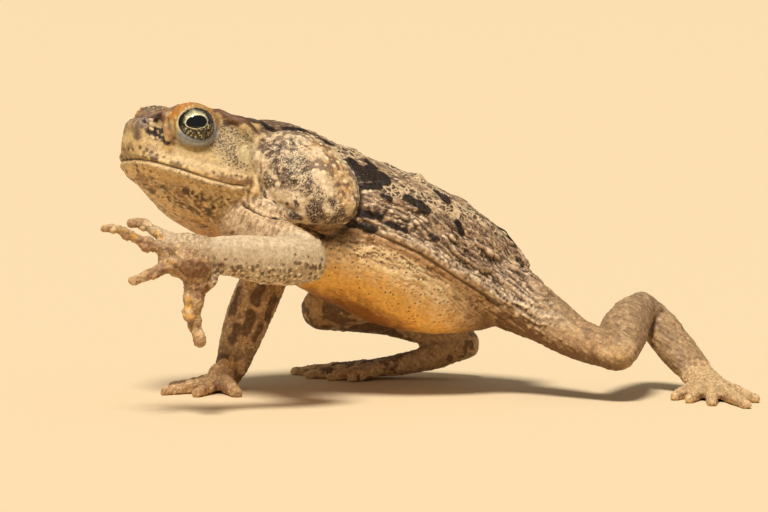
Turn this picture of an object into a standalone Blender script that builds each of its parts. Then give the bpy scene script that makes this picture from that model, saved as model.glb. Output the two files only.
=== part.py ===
"""A walking cane toad, life size, as a still model.

The body is lofted from named sections, fused into one closed skin, and parted into named pieces with thin
cuts. Sizes are in millimetres and become metres in the last step. X runs from the snout to the rump, Y to
the toad's right and Z up. The head is modelled in a frame of its own: ahead, left and up.
"""

import math

import bmesh
import bpy
import numpy as np
from mathutils import Matrix, Vector
from mathutils.bvhtree import BVHTree

MM = 0.001
GAP = 0.3
FLOOR = 2.0
VOXEL = 0.6
BODY_TRIANGLES = 8150
FINE_WEIGHT = 0.35
FINE_FACTOR = 0.02

# The head's frame starts midway between the eyes.
HEAD_ORIGIN = Vector((-61.2, -4.0, 80.6))
HEAD_YAW = math.radians(17)
HEAD_PITCH = math.radians(12)
HEAD_ROLL = math.radians(5)

# Eyes: centre, radius, gaze, and the half sizes of the opening between the lids.
EYE = Vector((1.0, 12.4, -0.5))
EYE_RADIUS = 5.9
EYE_SIDES = 20
SOCKET_RADIUS = EYE_RADIUS + 0.4
SOCKET_SIDES = 16
EYE_GAZE = Vector((0.16, 1.0, 0.06))
EYE_OPENING = (5.35, 4.55)
ORBIT = Vector((0.8, 11.5, -0.4))
ORBIT_HALF = Vector((7.9, 6.0, 6.6))
LID_REACH = 7.5
LID_SIDES = 18
LID_EDGE_TURN = math.radians(8)

# Eardrum: centre, radius and thickness. Nostril: centre and half sizes.
TYMPANUM = (-13.4, -5.8)
TYMPANUM_RADIUS = 2.6
TYMPANUM_DEPTH = 1.1
TYMPANUM_PROUD = 3.0
NOSTRIL = Vector((11.6, 5.6, -1.9))
NOSTRIL_HALF = (0.85, 1.3, 0.6)

# The line of the mouth as (ahead, up), from before the snout to the corner, and on down to the neck.
MOUTH = (
    (24.0, -11.8),
    (15.0, -12.1),
    (10.0, -12.6),
    (4.0, -13.7),
    (-3.0, -15.1),
    (-9.0, -15.7),
    (-14.6, -15.4),
)
JAW_REAR = ((-16.9, -17.4), (-19.3, -20.6))

# Lips: how far each lies above the line of the mouth, and its radius. They lie a little inside the skin.
LIPS = ((1.0, 0.9), (-1.1, 0.8))
LIP_INSET = 0.7
LIP_STOPS = (-13.0, -8.5, -4.0, 0.5, 5.0, 8.8, 11.4, 12.9)

# The cut between head and body: how far ahead it lies, the height of its middle, and its half size.
NECK_CUT = -18.6
NECK_CUT_UP = -12.0
NECK_CUT_HALF = 34.0

# Trunk sections: x, top, height of the widest level, bottom, half width, roundness above and below.
TRUNK = (
    (-54.0, 73.0, 65.0, 54.0, 12.0, 2.0, 2.0),
    (-45.0, 79.0, 64.0, 43.5, 18.5, 2.1, 2.0),
    (-36.0, 82.0, 61.0, 38.0, 20.5, 2.1, 2.0),
    (-26.0, 80.2, 57.5, 33.8, 22.0, 2.2, 2.1),
    (-15.0, 75.2, 52.0, 28.0, 24.0, 2.3, 2.2),
    (-4.0, 70.2, 46.5, 22.8, 25.5, 2.3, 2.3),
    (6.0, 66.5, 42.0, 20.3, 25.5, 2.3, 2.3),
    (15.0, 62.2, 38.5, 19.4, 24.0, 2.2, 2.3),
    (24.0, 57.0, 35.5, 19.5, 20.5, 2.1, 2.2),
    (31.0, 52.0, 33.5, 20.6, 16.0, 2.0, 2.0),
    (37.0, 47.0, 33.0, 23.0, 11.0, 2.0, 2.0),
    (41.5, 40.5, 33.0, 27.0, 6.0, 2.0, 2.0),
)

# Head sections: ahead, then the half outline as (left, up): top, crest, cheek, lip, jaw, throat and bottom.
HEAD = (
    (-27.0, (0, 5.4), (10.0, 3.4), (16.0, -4.0), (18.0, -12.0), (17.8, -18.0), (12.0, -27.0), (0, -31.0)),
    (-19.0, (0, 5.4), (13.0, 4.0), (19.2, -4.0), (21.0, -13.0), (20.2, -18.5), (14.2, -26.6), (0, -30.4)),
    (-11.0, (0, 4.6), (11.8, 4.4), (18.0, -3.8), (20.6, -14.0), (19.6, -18.4), (13.4, -25.2), (0, -28.0)),
    (-4.5, (0, 3.8), (9.2, 5.0), (14.2, -4.2), (19.0, -14.0), (18.0, -17.8), (11.4, -23.4), (0, -25.8)),
    (0.5, (0, 3.2), (8.0, 4.6), (12.0, -4.2), (17.0, -13.4), (15.8, -17.0), (9.2, -21.0), (0, -23.2)),
    (5.5, (0, 2.4), (6.4, 3.0), (9.4, -4.2), (14.0, -12.9), (12.6, -15.9), (7.0, -18.2), (0, -19.8)),
    (9.8, (0, 0.9), (5.2, 1.2), (7.6, -5.0), (10.8, -12.6), (9.6, -15.0), (5.6, -16.8), (0, -17.6)),
    (12.2, (0, -0.8), (4.2, -0.9), (6.2, -6.0), (8.2, -12.4), (7.4, -14.4), (4.4, -15.4), (0, -15.8)),
    (13.8, (0, -4.0), (3.0, -4.2), (4.5, -7.4), (5.4, -12.2), (4.8, -13.6), (2.8, -14.4), (0, -14.6)),
    (14.7, (0, -8.2), (1.5, -8.4), (2.3, -9.6), (2.7, -11.9), (2.3, -12.9), (1.4, -13.4), (0, -13.6)),
)

LIP_COLUMN = 4

# Bony ridges of the left side of the head, with their radii.
CRESTS = (
    (((11.6, 5.0, -0.6), (8.6, 6.8, 1.6), (5.6, 8.8, 3.6)), (0.8, 1.1, 1.1)),
    (((6.0, 8.6, 3.4), (0.5, 8.8, 5.0), (-5.6, 10.2, 4.6)), (1.0, 1.2, 1.2)),
    (((-5.2, 10.2, 4.8), (-11.0, 14.2, 3.0), (-18.5, 17.6, -0.8)), (1.1, 1.4, 1.2)),
    (((7.0, 8.6, 2.2), (8.6, 10.2, -3.0), (7.8, 12.0, -8.0)), (0.7, 0.9, 0.7)),
    (((-12.5, 16.8, 1.2), (-16.4, 18.6, -3.0), (-16.8, 19.8, -8.0)), (1.0, 1.0, 0.8)),
)

# Each limb: points of its middle line, half widths and half depths there, and which way it is wide.
LIMBS = {
    "upper_arm_left": (
        ((-45.0, -9.0, 57.0), (-41.5, -20.0, 52.5), (-36.0, -31.0, 48.0), (-30.6, -37.0, 45.5)),
        (8.6, 8.0, 7.2, 6.6),
        (8.6, 7.6, 6.8, 6.2),
        (0, 0, 1),
    ),
    "forearm_left": (
        (
            (-29.8, -38.0, 44.4),
            (-35.0, -40.5, 44.6),
            (-42.0, -42.3, 45.2),
            (-51.0, -43.6, 46.6),
            (-59.0, -44.2, 47.0),
        ),
        (6.3, 6.8, 6.8, 6.0, 5.1),
        (5.6, 6.2, 5.6, 4.7, 3.8),
        (0, 0, 1),
    ),
    "upper_arm_right": (
        ((-45.0, 9.0, 56.0), (-40.0, 20.0, 50.0), (-32.0, 28.0, 44.0), (-27.0, 30.0, 40.5)),
        (8.6, 8.0, 7.0, 6.4),
        (8.6, 7.6, 6.8, 6.2),
        (0, 0, 1),
    ),
    "forearm_right": (
        (
            (-26.5, 30.0, 40.0),
            (-30.4, 27.2, 33.0),
            (-34.4, 24.2, 25.5),
            (-38.2, 21.2, 17.5),
            (-41.4, 18.2, 9.5),
        ),
        (6.2, 6.8, 6.8, 6.2, 5.0),
        (5.8, 6.2, 5.8, 4.8, 3.8),
        (1, 0, 0),
    ),
    "thigh_left": (
        (
            (24.0, -8.0, 35.0),
            (33.0, -11.5, 31.2),
            (44.0, -18.5, 24.4),
            (51.5, -26.0, 19.2),
            (60.5, -35.5, 16.6),
        ),
        (10.8, 9.6, 7.3, 5.8, 5.6),
        (10.0, 9.2, 7.4, 6.0, 5.4),
        (0, 0, 1),
    ),
    "shank_left": (
        ((60.5, -35.5, 16.6), (64.0, -27.5, 20.0), (69.4, -16.5, 23.6), (75.8, -6.0, 25.8)),
        (5.6, 7.2, 6.6, 4.8),
        (5.6, 6.9, 6.0, 4.5),
        (0, 0, 1),
    ),
    "tarsus_left": (
        ((76.2, -5.2, 25.6), (80.8, -9.0, 19.8), (85.2, -13.5, 13.2), (88.8, -17.5, 8.4)),
        (4.9, 5.8, 5.8, 5.2),
        (4.4, 4.4, 4.2, 3.4),
        (1, 0, 0),
    ),
    "thigh_right": (
        ((25.0, 8.0, 35.0), (15.0, 18.0, 31.5), (1.0, 27.5, 27.5), (-11.0, 33.5, 24.2)),
        (10.6, 9.2, 7.6, 6.5),
        (10.0, 8.6, 7.0, 6.0),
        (0, 0, 1),
    ),
    "shank_right": (
        ((-11.5, 34.6, 23.6), (-4.0, 40.4, 22.4), (8.0, 41.0, 20.6), (20.0, 36.6, 17.0), (31.0, 30.6, 12.8)),
        (6.4, 6.4, 6.0, 5.2, 4.7),
        (6.2, 6.2, 5.8, 4.9, 4.4),
        (0, 0, 1),
    ),
    "tarsus_right": (
        ((31.2, 30.4, 12.2), (22.5, 33.6, 8.6), (13.5, 36.0, 6.4)),
        (4.6, 4.9, 4.9),
        (4.3, 3.8, 3.2),
        (0, 1, 0),
    ),
}

# Palms and soles, described as the limbs are.
PADS = {
    "hand_left": (
        ((-57.5, -44.0, 47.0), (-62.0, -44.6, 46.8), (-67.0, -44.8, 47.2), (-71.0, -44.6, 47.8)),
        (4.9, 6.3, 6.4, 5.2),
        (3.7, 3.3, 2.8, 2.2),
        (0, 0, 1),
    ),
    "hand_right": (
        ((-41.4, 18.2, 8.4), (-44.4, 15.4, 6.4), (-47.6, 12.6, 5.4)),
        (4.6, 5.6, 5.6),
        (3.6, 3.0, 2.4),
        (0.7, 0.7, 0),
    ),
    "foot_left": (
        ((88.8, -17.5, 8.0), (89.8, -23.0, 6.0), (90.2, -29.0, 4.8)),
        (5.2, 5.8, 5.8),
        (3.2, 2.7, 2.2),
        (1, 0, 0),
    ),
    "foot_right": (
        ((13.5, 36.0, 6.2), (7.5, 37.4, 5.4), (2.0, 38.4, 4.8)),
        (5.0, 5.6, 5.8),
        (3.2, 2.7, 2.2),
        (0.3, 0.95, 0),
    ),
}

# Fingers and toes, inner digit first: points of the middle line and the radius at each.
DIGITS = {
    "hand_left": (
        (
            (
                (-62.6, -45.2, 43.0),
                (-63.2, -46.0, 37.0),
                (-63.9, -46.6, 31.5),
                (-62.9, -47.2, 26.4),
                (-62.0, -47.4, 23.4),
            ),
            (4.2, 3.0, 2.3, 1.8, 1.7),
        ),
        (
            ((-68.0, -45.2, 45.4), (-73.6, -47.0, 43.4), (-77.8, -48.4, 41.8), (-80.2, -49.0, 40.9)),
            (2.3, 1.6, 1.4, 1.4),
        ),
        (
            (
                (-68.5, -44.6, 48.8),
                (-76.0, -44.6, 50.4),
                (-82.2, -45.0, 53.8),
                (-85.8, -45.2, 55.2),
                (-88.2, -45.4, 55.0),
            ),
            (2.2, 1.6, 1.35, 1.25, 1.2),
        ),
        (
            ((-68.5, -43.4, 51.2), (-74.0, -40.8, 54.0), (-77.0, -39.6, 56.2), (-79.0, -39.2, 56.0)),
            (2.1, 1.5, 1.35, 1.4),
        ),
    ),
    "hand_right": (
        (((-45.2, 11.2, 5.2), (-44.2, 5.4, 3.9), (-43.6, -0.5, 3.2)), (2.6, 2.0, 1.7)),
        (((-47.8, 10.6, 5.0), (-51.6, 6.2, 3.8), (-54.8, 1.8, 3.2)), (2.3, 1.7, 1.5)),
        (((-49.8, 12.4, 5.0), (-56.4, 10.8, 3.8), (-63.2, 8.4, 3.1)), (2.3, 1.7, 1.4)),
        (((-49.2, 15.4, 5.0), (-54.2, 18.0, 3.8), (-58.8, 21.2, 3.1)), (2.2, 1.6, 1.4)),
    ),
    "foot_left": (
        (((86.8, -25.5, 5.4), (82.4, -30.0, 4.0), (78.0, -34.0, 3.2)), (2.2, 1.8, 1.5)),
        (((87.8, -28.0, 5.2), (84.0, -35.0, 3.9), (80.0, -41.5, 3.1)), (2.2, 1.8, 1.4)),
        (((89.6, -29.5, 5.0), (87.4, -39.0, 3.9), (84.6, -49.0, 3.0)), (2.3, 1.9, 1.4)),
        (((91.6, -29.5, 5.0), (92.0, -43.0, 3.9), (92.4, -57.0, 3.0)), (2.4, 2.0, 1.4)),
        (((93.4, -27.5, 5.2), (96.4, -36.0, 3.9), (98.8, -44.5, 3.1)), (2.2, 1.8, 1.4)),
    ),
    "foot_right": (
        (((5.6, 33.6, 5.4), (1.0, 31.4, 4.0), (-3.6, 29.4, 3.2)), (2.2, 1.8, 1.5)),
        (((4.0, 35.4, 5.2), (-2.4, 34.8, 3.9), (-9.0, 34.0, 3.1)), (2.2, 1.8, 1.4)),
        (((2.0, 37.4, 5.0), (-6.4, 39.2, 3.9), (-14.4, 41.0, 3.0)), (2.3, 1.9, 1.4)),
        (((1.4, 39.4, 5.0), (-7.6, 45.2, 3.9), (-16.6, 51.2, 3.0)), (2.4, 2.0, 1.4)),
        (((3.4, 41.2, 5.2), (-0.8, 47.4, 3.9), (-5.0, 53.6, 3.1)), (2.2, 1.8, 1.4)),
    ),
}
KNUCKLES = (0.42, 0.72)
KNUCKLE_SWELL = 1.18
TIP_SWELL = 1.12
WEB_REACH = 0.55
WEB_THICKNESS = 1.5

# Tubercles of the raised left palm: centre and half sizes.
TUBERCLES = (
    ((-63.2, -47.6, 43.6), (4.2, 2.0, 3.5)),
    ((-58.8, -46.4, 40.6), (2.3, 1.8, 2.6)),
)

# Poison gland behind each eye: centre, half sizes, and the directions of its length and of its outer face.
GLAND = Vector((-26.8, -17.8, 65.6))
GLAND_HALF = Vector((17.8, 12.2, 9.8))
GLAND_LENGTH = Vector((0.68, -0.25, -0.69))
GLAND_OUT = Vector((0.0, -0.80, 0.60))
GLAND_DEPTH = 5.0
GLAND_FLARE = 22.0
BOWL_SIDES = 20

# Fold of skin where the flank meets the belly: x and height, and its radius.
FOLD = ((-9.0, 51.2), (-2.4, 48.4), (5.0, 45.0), (11.7, 40.6), (18.0, 36.6), (25.0, 32.4), (31.0, 27.8))
FOLD_RADIUS = 2.6

# Cuts across the limbs: the two nodes that meet, and the half size of the cut.
LIMB_CUTS = (
    ("upper_arm_left", "forearm_left", 12),
    ("forearm_left", "hand_left", 9),
    ("upper_arm_right", "forearm_right", 11),
    ("forearm_right", "hand_right", 9),
    ("thigh_left", "shank_left", 17),
    ("shank_left", "tarsus_left", 14),
    ("tarsus_left", "foot_left", 9),
    ("thigh_right", "shank_right", 19),
    ("shank_right", "tarsus_right", 15),
    ("tarsus_right", "foot_right", 7),
)

# Shoulders: how far along the upper arm it leaves the body, and how much wider than the arm its pocket is.
SHOULDER_START = 0.22
SHOULDER_EASE = 0.9
ELBOW_FLARE = 4.0
POCKET_SIDES = 16
POCKET_RINGS = 9

# Cuts at the hips: the middle, the direction out of the body, and the half height and half width.
HIP_CUTS = (
    (Vector((36.0, -14.0, 29.5)), Vector((0.62, -0.65, -0.44)), (14, 14)),
    (Vector((6.0, 22.8, 30.0)), Vector((-0.12, 0.90, -0.42)), (12, 17)),
)
CUT_UPRIGHT = (0.02, 0.01, 1)

COLOURS = {
    "head": (0.45, 0.33, 0.17),
    "lower_jaw": (0.42, 0.27, 0.10),
    "torso": (0.40, 0.28, 0.14),
    "parotoid": (0.46, 0.36, 0.22),
    "tympanum": (0.50, 0.40, 0.22),
    "upper_lid": (0.34, 0.17, 0.05),
    "eye": (0.03, 0.025, 0.02),
    "upper_arm": (0.50, 0.40, 0.26),
    "forearm": (0.50, 0.41, 0.27),
    "hand": (0.36, 0.26, 0.16),
    "thigh": (0.38, 0.29, 0.19),
    "shank": (0.34, 0.25, 0.16),
    "tarsus": (0.34, 0.25, 0.16),
    "foot": (0.32, 0.24, 0.15),
}
SKIN_ROUGHNESS = 0.55
EYE_ROUGHNESS = 0.08


def smooth_row(rows, count):
    """Reads count rows from a smooth curve through the given rows, spaced by their first three numbers."""
    rows = np.array(rows, float)
    steps = np.linalg.norm(np.diff(rows[:, :3], axis=0), axis=1)
    at = np.concatenate([[0], np.cumsum(steps)])
    slope = np.gradient(rows, at, axis=0)
    found = []
    for s in np.linspace(0, at[-1], count):
        i = min(int(np.searchsorted(at, s, "right")) - 1, len(rows) - 2)
        h = at[i + 1] - at[i]
        t = (s - at[i]) / h
        found.append(
            (2 * t**3 - 3 * t**2 + 1) * rows[i]
            + (t**3 - 2 * t**2 + t) * h * slope[i]
            + (3 * t**2 - 2 * t**3) * rows[i + 1]
            + (t**3 - t**2) * h * slope[i + 1]
        )
    return np.array(found)


def closed_curve(points, count):
    """Reads count points from a smooth closed curve through the given ones."""
    n = len(points)
    found = []
    for k in range(count):
        at = n * k / count
        i, t = int(at), at - int(at)
        p = [points[(i + j - 1) % n] for j in range(4)]
        bend = (2 * p[0] - 5 * p[1] + 4 * p[2] - p[3]) * t**2 + (3 * p[1] - p[0] - 3 * p[2] + p[3]) * t**3
        found.append(0.5 * (2 * p[1] + (p[2] - p[0]) * t + bend))
    return found


def loft(rings):
    """A closed bmesh through rings of the same number of points, capped at both ends."""
    made = bmesh.new()
    rows = [[made.verts.new(p) for p in ring] for ring in rings]
    n = len(rows[0])
    for low, high in zip(rows, rows[1:]):
        for i in range(n):
            made.faces.new((low[i], low[(i + 1) % n], high[(i + 1) % n], high[i]))
    made.faces.new(rows[0])
    made.faces.new(rows[-1])
    bmesh.ops.recalc_face_normals(made, faces=made.faces)
    bmesh.ops.triangulate(made, faces=made.faces)
    return made


def tube(points, widths, depths, side, sides=20, steps=None):
    """A limb: oval rings along a smooth line, with round ends."""
    steps = steps or 8 * len(points)
    cap_steps = 4
    rows = smooth_row([(*p, w, d) for p, w, d in zip(points, widths, depths)], steps)
    along = np.gradient(rows[:, :3], axis=0)
    rings = []
    for k in range(-cap_steps, steps + cap_steps):
        i = min(max(k, 0), steps - 1)
        cap = (k - i) / (cap_steps + 0.3)
        width, depth = rows[i, 3:]
        forward = Vector(along[i]).normalized()
        across = (Vector(side) - forward * forward.dot(Vector(side))).normalized()
        other = forward.cross(across)
        centre = Vector(rows[i, :3]) + forward * cap * min(width, depth)
        shrink = math.sqrt(1 - cap * cap)
        ring = []
        for j in range(sides):
            turn = 2 * math.pi * j / sides
            ring.append(centre + shrink * (across * width * math.cos(turn) + other * depth * math.sin(turn)))
        rings.append(ring)
    return loft(rings)


def ball(centre, half, turn=None, parts=20):
    """An ellipsoid of the given half sizes."""
    made = bmesh.new()
    bmesh.ops.create_uvsphere(made, u_segments=parts, v_segments=parts // 2 + 2, radius=1)
    place = Matrix.Translation(centre) @ (turn or Matrix.Identity(4)) @ Matrix.Diagonal((*half, 1))
    bmesh.ops.transform(made, matrix=place, verts=made.verts)
    return made


def box(centre, half, turn=None):
    made = bmesh.new()
    bmesh.ops.create_cube(made, size=2)
    place = Matrix.Translation(centre) @ (turn or Matrix.Identity(4)) @ Matrix.Diagonal((*half, 1))
    bmesh.ops.transform(made, matrix=place, verts=made.verts)
    return made


def axes(first, last):
    """A turn whose z axis is last and whose x axis is as near first as it can be."""
    z = Vector(last).normalized()
    x = (Vector(first) - z * z.dot(Vector(first))).normalized()
    return Matrix((x, z.cross(x), z)).transposed().to_4x4()


def head_frame():
    """Takes a point of the head's frame (ahead, left, up) to the body's frame."""
    level = Vector((-math.cos(HEAD_YAW), -math.sin(HEAD_YAW), 0))
    left = Vector((math.sin(HEAD_YAW), -math.cos(HEAD_YAW), 0))
    up = Vector((0, 0, 1))
    ahead = level * math.cos(HEAD_PITCH) + up * math.sin(HEAD_PITCH)
    up = up * math.cos(HEAD_PITCH) - level * math.sin(HEAD_PITCH)
    side = left * math.cos(HEAD_ROLL) + up * math.sin(HEAD_ROLL)
    top = up * math.cos(HEAD_ROLL) - left * math.sin(HEAD_ROLL)
    return Matrix.Translation(HEAD_ORIGIN) @ Matrix((ahead, side, top)).transposed().to_4x4()


def trunk_level(row, turn):
    """A point of one trunk section, at an angle from its top."""
    x, top, middle, bottom, half, above, below = row
    c, s = math.cos(turn), math.sin(turn)
    power = 2 / (above if c > 0 else below)
    height = (top - middle) if c > 0 else (middle - bottom)
    wide = half * math.copysign(abs(s) ** power, s)
    return Vector((x, wide, middle + height * math.copysign(abs(c) ** power, c)))


def trunk_shape():
    rings = []
    for row in smooth_row(TRUNK, 46):
        rings.append([trunk_level(row, 2 * math.pi * i / 48) for i in range(48)])
    return loft(rings)


def trunk_side(x, z):
    """Half width of the trunk at one place along it and one height."""
    rows = smooth_row(TRUNK, 60)
    row = rows[int(np.argmin(abs(rows[:, 0] - x)))]
    points = [trunk_level(row, turn) for turn in np.linspace(0.05, math.pi - 0.05, 90)]
    return min(points, key=lambda p: abs(p.z - z)).y


def head_shape(frame):
    rows = []
    for ahead, *outline in HEAD:
        rows.append([ahead, 0, 0] + [value for point in outline for value in point])
    rings = []
    for row in smooth_row(rows, 44):
        half = row[3:].reshape(-1, 2)
        whole = np.concatenate([half, half[-2:0:-1] * (-1, 1)])
        rings.append([frame @ Vector((row[0], b, c)) for b, c in closed_curve(whole, 56)])
    return loft(rings)


def lip_line(rise):
    """Points round the lip from corner to corner, rise above the line of the mouth."""
    line = smooth_row([(row[0], 0, 0, *row[LIP_COLUMN]) for row in HEAD], 60)
    mouth = np.array(MOUTH[::-1])
    left = []
    for ahead in LIP_STOPS:
        row = line[int(np.argmin(abs(line[:, 0] - ahead)))]
        up = float(np.interp(ahead, mouth[:, 0], mouth[:, 1]))
        left.append((ahead, row[3] - LIP_INSET, up + rise))
    tip = (HEAD[-1][0] - LIP_INSET, 0, left[-1][2])
    return left + [tip] + [(a, -b, c) for a, b, c in reversed(left)]


def head_details(frame):
    """Orbits, bony ridges and lips, on both sides of the head."""
    made = []
    upright = frame.to_3x3().to_4x4()
    for rise, radius in LIPS:
        line = [frame @ Vector(p) for p in lip_line(rise)]
        radii = [radius] * len(line)
        made.append(tube(line, radii, radii, (0.1, 0.1, 1), sides=12))
    for flip in (1, -1):
        side = Matrix.Diagonal((1, flip, 1, 1))
        made.append(ball(frame @ side @ ORBIT, ORBIT_HALF, upright, parts=28))
        for points, radii in CRESTS:
            line = [frame @ side @ Vector(p) for p in points]
            made.append(tube(line, radii, radii, (0.1, 0.1, 1), sides=12))
    return made


def digit_shapes():
    made = []
    for digits in DIGITS.values():
        for points, radii in digits:
            made.append(tube(points, radii, radii, (0.3, 0.2, 0.9), sides=14))
            line = smooth_row([(*p, r) for p, r in zip(points, radii)], 40)
            for share in KNUCKLES:
                row = line[int(share * 39)]
                made.append(ball(row[:3], (row[3] * KNUCKLE_SWELL,) * 3, parts=12))
            made.append(ball(line[-1, :3], (line[-1, 3] * TIP_SWELL,) * 3, parts=12))
    return made


def web_shapes():
    """Skin between the toes of each hind foot, drawn back between them."""
    made = []
    for foot in ("foot_left", "foot_right"):
        toes = [smooth_row(points, 16) for points, _ in DIGITS[foot]]
        for one, two in zip(toes, toes[1:]):
            count = int(16 * WEB_REACH)
            rings = []
            for i in range(count):
                a, b = Vector(one[i]), Vector(two[i])
                back = Vector(one[max(i - 2, 0)]).lerp(Vector(two[max(i - 2, 0)]), 0.5)
                line = (a, a.lerp(back, 0.6).lerp(b, 0.3), back, b.lerp(back, 0.6).lerp(a, 0.3), b)
                low = [p - Vector((0, 0, WEB_THICKNESS * 0.6)) for p in line]
                high = [p + Vector((0, 0, WEB_THICKNESS * 0.4)) for p in line]
                rings.append(low + high[::-1])
            made.append(loft(rings))
    return made


def gland_place(flip):
    """Centre and turn of a poison gland, whose own z axis points outwards."""
    side = Matrix.Diagonal((1, flip, 1))
    return side @ GLAND, axes(side @ GLAND_LENGTH, side @ GLAND_OUT)


def body_shapes(frame):
    made = [trunk_shape(), head_shape(frame), *head_details(frame)]
    for points, widths, depths, side in (*LIMBS.values(), *PADS.values()):
        made.append(tube(points, widths, depths, side))
    made += digit_shapes() + web_shapes()
    made += [ball(centre, half) for centre, half in TUBERCLES]
    for flip in (1, -1):
        centre, turn = gland_place(flip)
        made.append(ball(centre, GLAND_HALF, turn, parts=32))
        fold = [(x, -flip * (trunk_side(x, z) - 0.9), z) for x, z in FOLD]
        radii = [FOLD_RADIUS * share for share in (0.5, 0.8, 1, 1, 1, 1, 1)]
        made.append(tube(fold, radii, radii, (0, 0, 1), sides=12))
    return made


def new_object(name, mesh):
    thing = bpy.data.objects.new(name, mesh)
    bpy.context.scene.collection.objects.link(thing)
    return thing


def to_object(name, shape):
    """An object holding one bmesh, which is freed."""
    mesh = bpy.data.meshes.new(name)
    shape.to_mesh(mesh)
    shape.free()
    return new_object(name, mesh)


def apply_modifiers(thing):
    graph = bpy.context.evaluated_depsgraph_get()
    made = bpy.data.meshes.new_from_object(thing.evaluated_get(graph), depsgraph=graph)
    thing.modifiers.clear()
    old = thing.data
    thing.data = made
    bpy.data.meshes.remove(old)


def remove(thing):
    mesh = thing.data
    bpy.data.objects.remove(thing)
    bpy.data.meshes.remove(mesh)


def fused(shapes):
    """One closed skin round all the shapes."""
    whole = bmesh.new()
    for shape in shapes:
        part = bpy.data.meshes.new("part")
        shape.to_mesh(part)
        shape.free()
        whole.from_mesh(part)
        bpy.data.meshes.remove(part)
    body = to_object("body", whole)
    remesh = body.modifiers.new("fuse", "REMESH")
    remesh.mode = "VOXEL"
    remesh.voxel_size = VOXEL
    apply_modifiers(body)
    return body


def relax(mesh, rounds, push):
    """Moves each vertex towards the mean of its neighbours, then back by push, which keeps forms thick."""
    count = len(mesh.vertices)
    points = np.empty(count * 3)
    mesh.vertices.foreach_get("co", points)
    points = points.reshape(-1, 3)
    ends = np.empty(len(mesh.edges) * 2, np.int32)
    mesh.edges.foreach_get("vertices", ends)
    one, two = ends.reshape(-1, 2).T
    degree = np.bincount(ends, minlength=count)
    for factor in (0.5, -push) * rounds:
        for axis in range(3):
            line = points[:, axis]
            total = np.bincount(one, line[two], count) + np.bincount(two, line[one], count)
            points[:, axis] = line + factor * (total / degree - line)
    mesh.vertices.foreach_set("co", points.ravel())
    mesh.update()


def thinned(body):
    """Fewer triangles, with more of them kept on the head, hands and feet."""
    group = body.vertex_groups.new(name="plain")
    for vertex in body.data.vertices:
        x, y, z = vertex.co
        fine = x < -41 or x > 76 or z < 9
        group.add([vertex.index], FINE_WEIGHT if fine else 1.0, "REPLACE")
    thin = body.modifiers.new("thin", "DECIMATE")
    triangles = sum(len(p.vertices) - 2 for p in body.data.polygons)
    thin.ratio = BODY_TRIANGLES / triangles
    thin.vertex_group = "plain"
    thin.vertex_group_factor = FINE_FACTOR
    thin.use_collapse_triangulate = True
    apply_modifiers(body)
    body.vertex_groups.clear()


def boolean(thing, shape, operation):
    """Cuts thing by a closed bmesh, or keeps only what lies inside it."""
    tool = to_object("cutter", shape)
    change = thing.modifiers.new("cut", "BOOLEAN")
    change.operation = operation
    change.solver = "EXACT"
    change.object = tool
    apply_modifiers(thing)
    remove(tool)


def carve(body, name, inner, outer):
    """Takes the flesh inside inner out as a piece of its own, and clears the body inside outer."""
    piece = new_object(name, body.data.copy())
    boolean(piece, inner, "INTERSECT")
    boolean(body, outer, "DIFFERENCE")
    keep_largest(piece)
    return piece


def shells(mesh):
    """The separate closed surfaces of a mesh, largest first, as lists of faces."""
    made = bmesh.new()
    made.from_mesh(mesh)
    made.faces.ensure_lookup_table()
    left = set(range(len(made.faces)))
    found = []
    while left:
        reached = {left.pop()}
        front = list(reached)
        while front:
            face = made.faces[front.pop()]
            for edge in face.edges:
                for other in edge.link_faces:
                    if other.index in left:
                        left.discard(other.index)
                        reached.add(other.index)
                        front.append(other.index)
        found.append(reached)
    areas = [sum(made.faces[i].calc_area() for i in group) for group in found]
    order = sorted(range(len(found)), key=lambda k: -areas[k])
    made.free()
    return [found[k] for k in order]


def keep_faces(mesh, faces):
    made = bmesh.new()
    made.from_mesh(mesh)
    made.faces.ensure_lookup_table()
    drop = [face for face in made.faces if face.index not in faces]
    bmesh.ops.delete(made, geom=drop, context="FACES")
    made.to_mesh(mesh)
    made.free()


def keep_largest(thing):
    keep_faces(thing.data, shells(thing.data)[0])


def along(node, share):
    """A point and the direction of a limb's middle line."""
    line = smooth_row(LIMBS[node][0], 60)
    i = int(share * 59)
    forward = line[min(i + 2, 59)] - line[max(i - 2, 0)]
    return Vector(line[i]), Vector(forward).normalized()


def cut_across(body, point, normal, half):
    boolean(body, box(point, (*half, GAP / 2), axes(CUT_UPRIGHT, normal)), "DIFFERENCE")


def cut_limbs(body):
    """Thin cuts at the joints, each square to the mean direction of the limb there."""
    for first, second, half in LIMB_CUTS:
        point, arriving = along(first, 1)
        line = (LIMBS.get(second) or PADS[second])[0]
        leaving = (Vector(line[1]) - Vector(line[0])).normalized()
        cut_across(body, point, arriving + leaving, (half, half))
    for cut in HIP_CUTS:
        cut_across(body, *cut)


def carve_arm(body, side_name):
    """The upper arm, in a pocket that follows it into the shoulder and flares out past the elbow."""
    node = "upper_arm_" + side_name
    points, widths, depths, side = LIMBS[node]
    rows = smooth_row([(*p, w, d) for p, w, d in zip(points, widths, depths)], 60)
    rows = rows[int(60 * SHOULDER_START)::5]
    past = 2 * rows[-1] - rows[-2]
    past[3:] = rows[-1, 3:] + ELBOW_FLARE
    rows[-1, 3:] += ELBOW_FLARE
    rows = np.vstack([rows, past])
    pockets = []
    for grow in (SHOULDER_EASE, SHOULDER_EASE + GAP):
        sizes = rows[:, 3:] + grow
        pockets.append(tube(rows[:, :3], sizes[:, 0], sizes[:, 1], side, POCKET_SIDES, POCKET_RINGS))
    return carve(body, node, *pockets)


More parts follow.
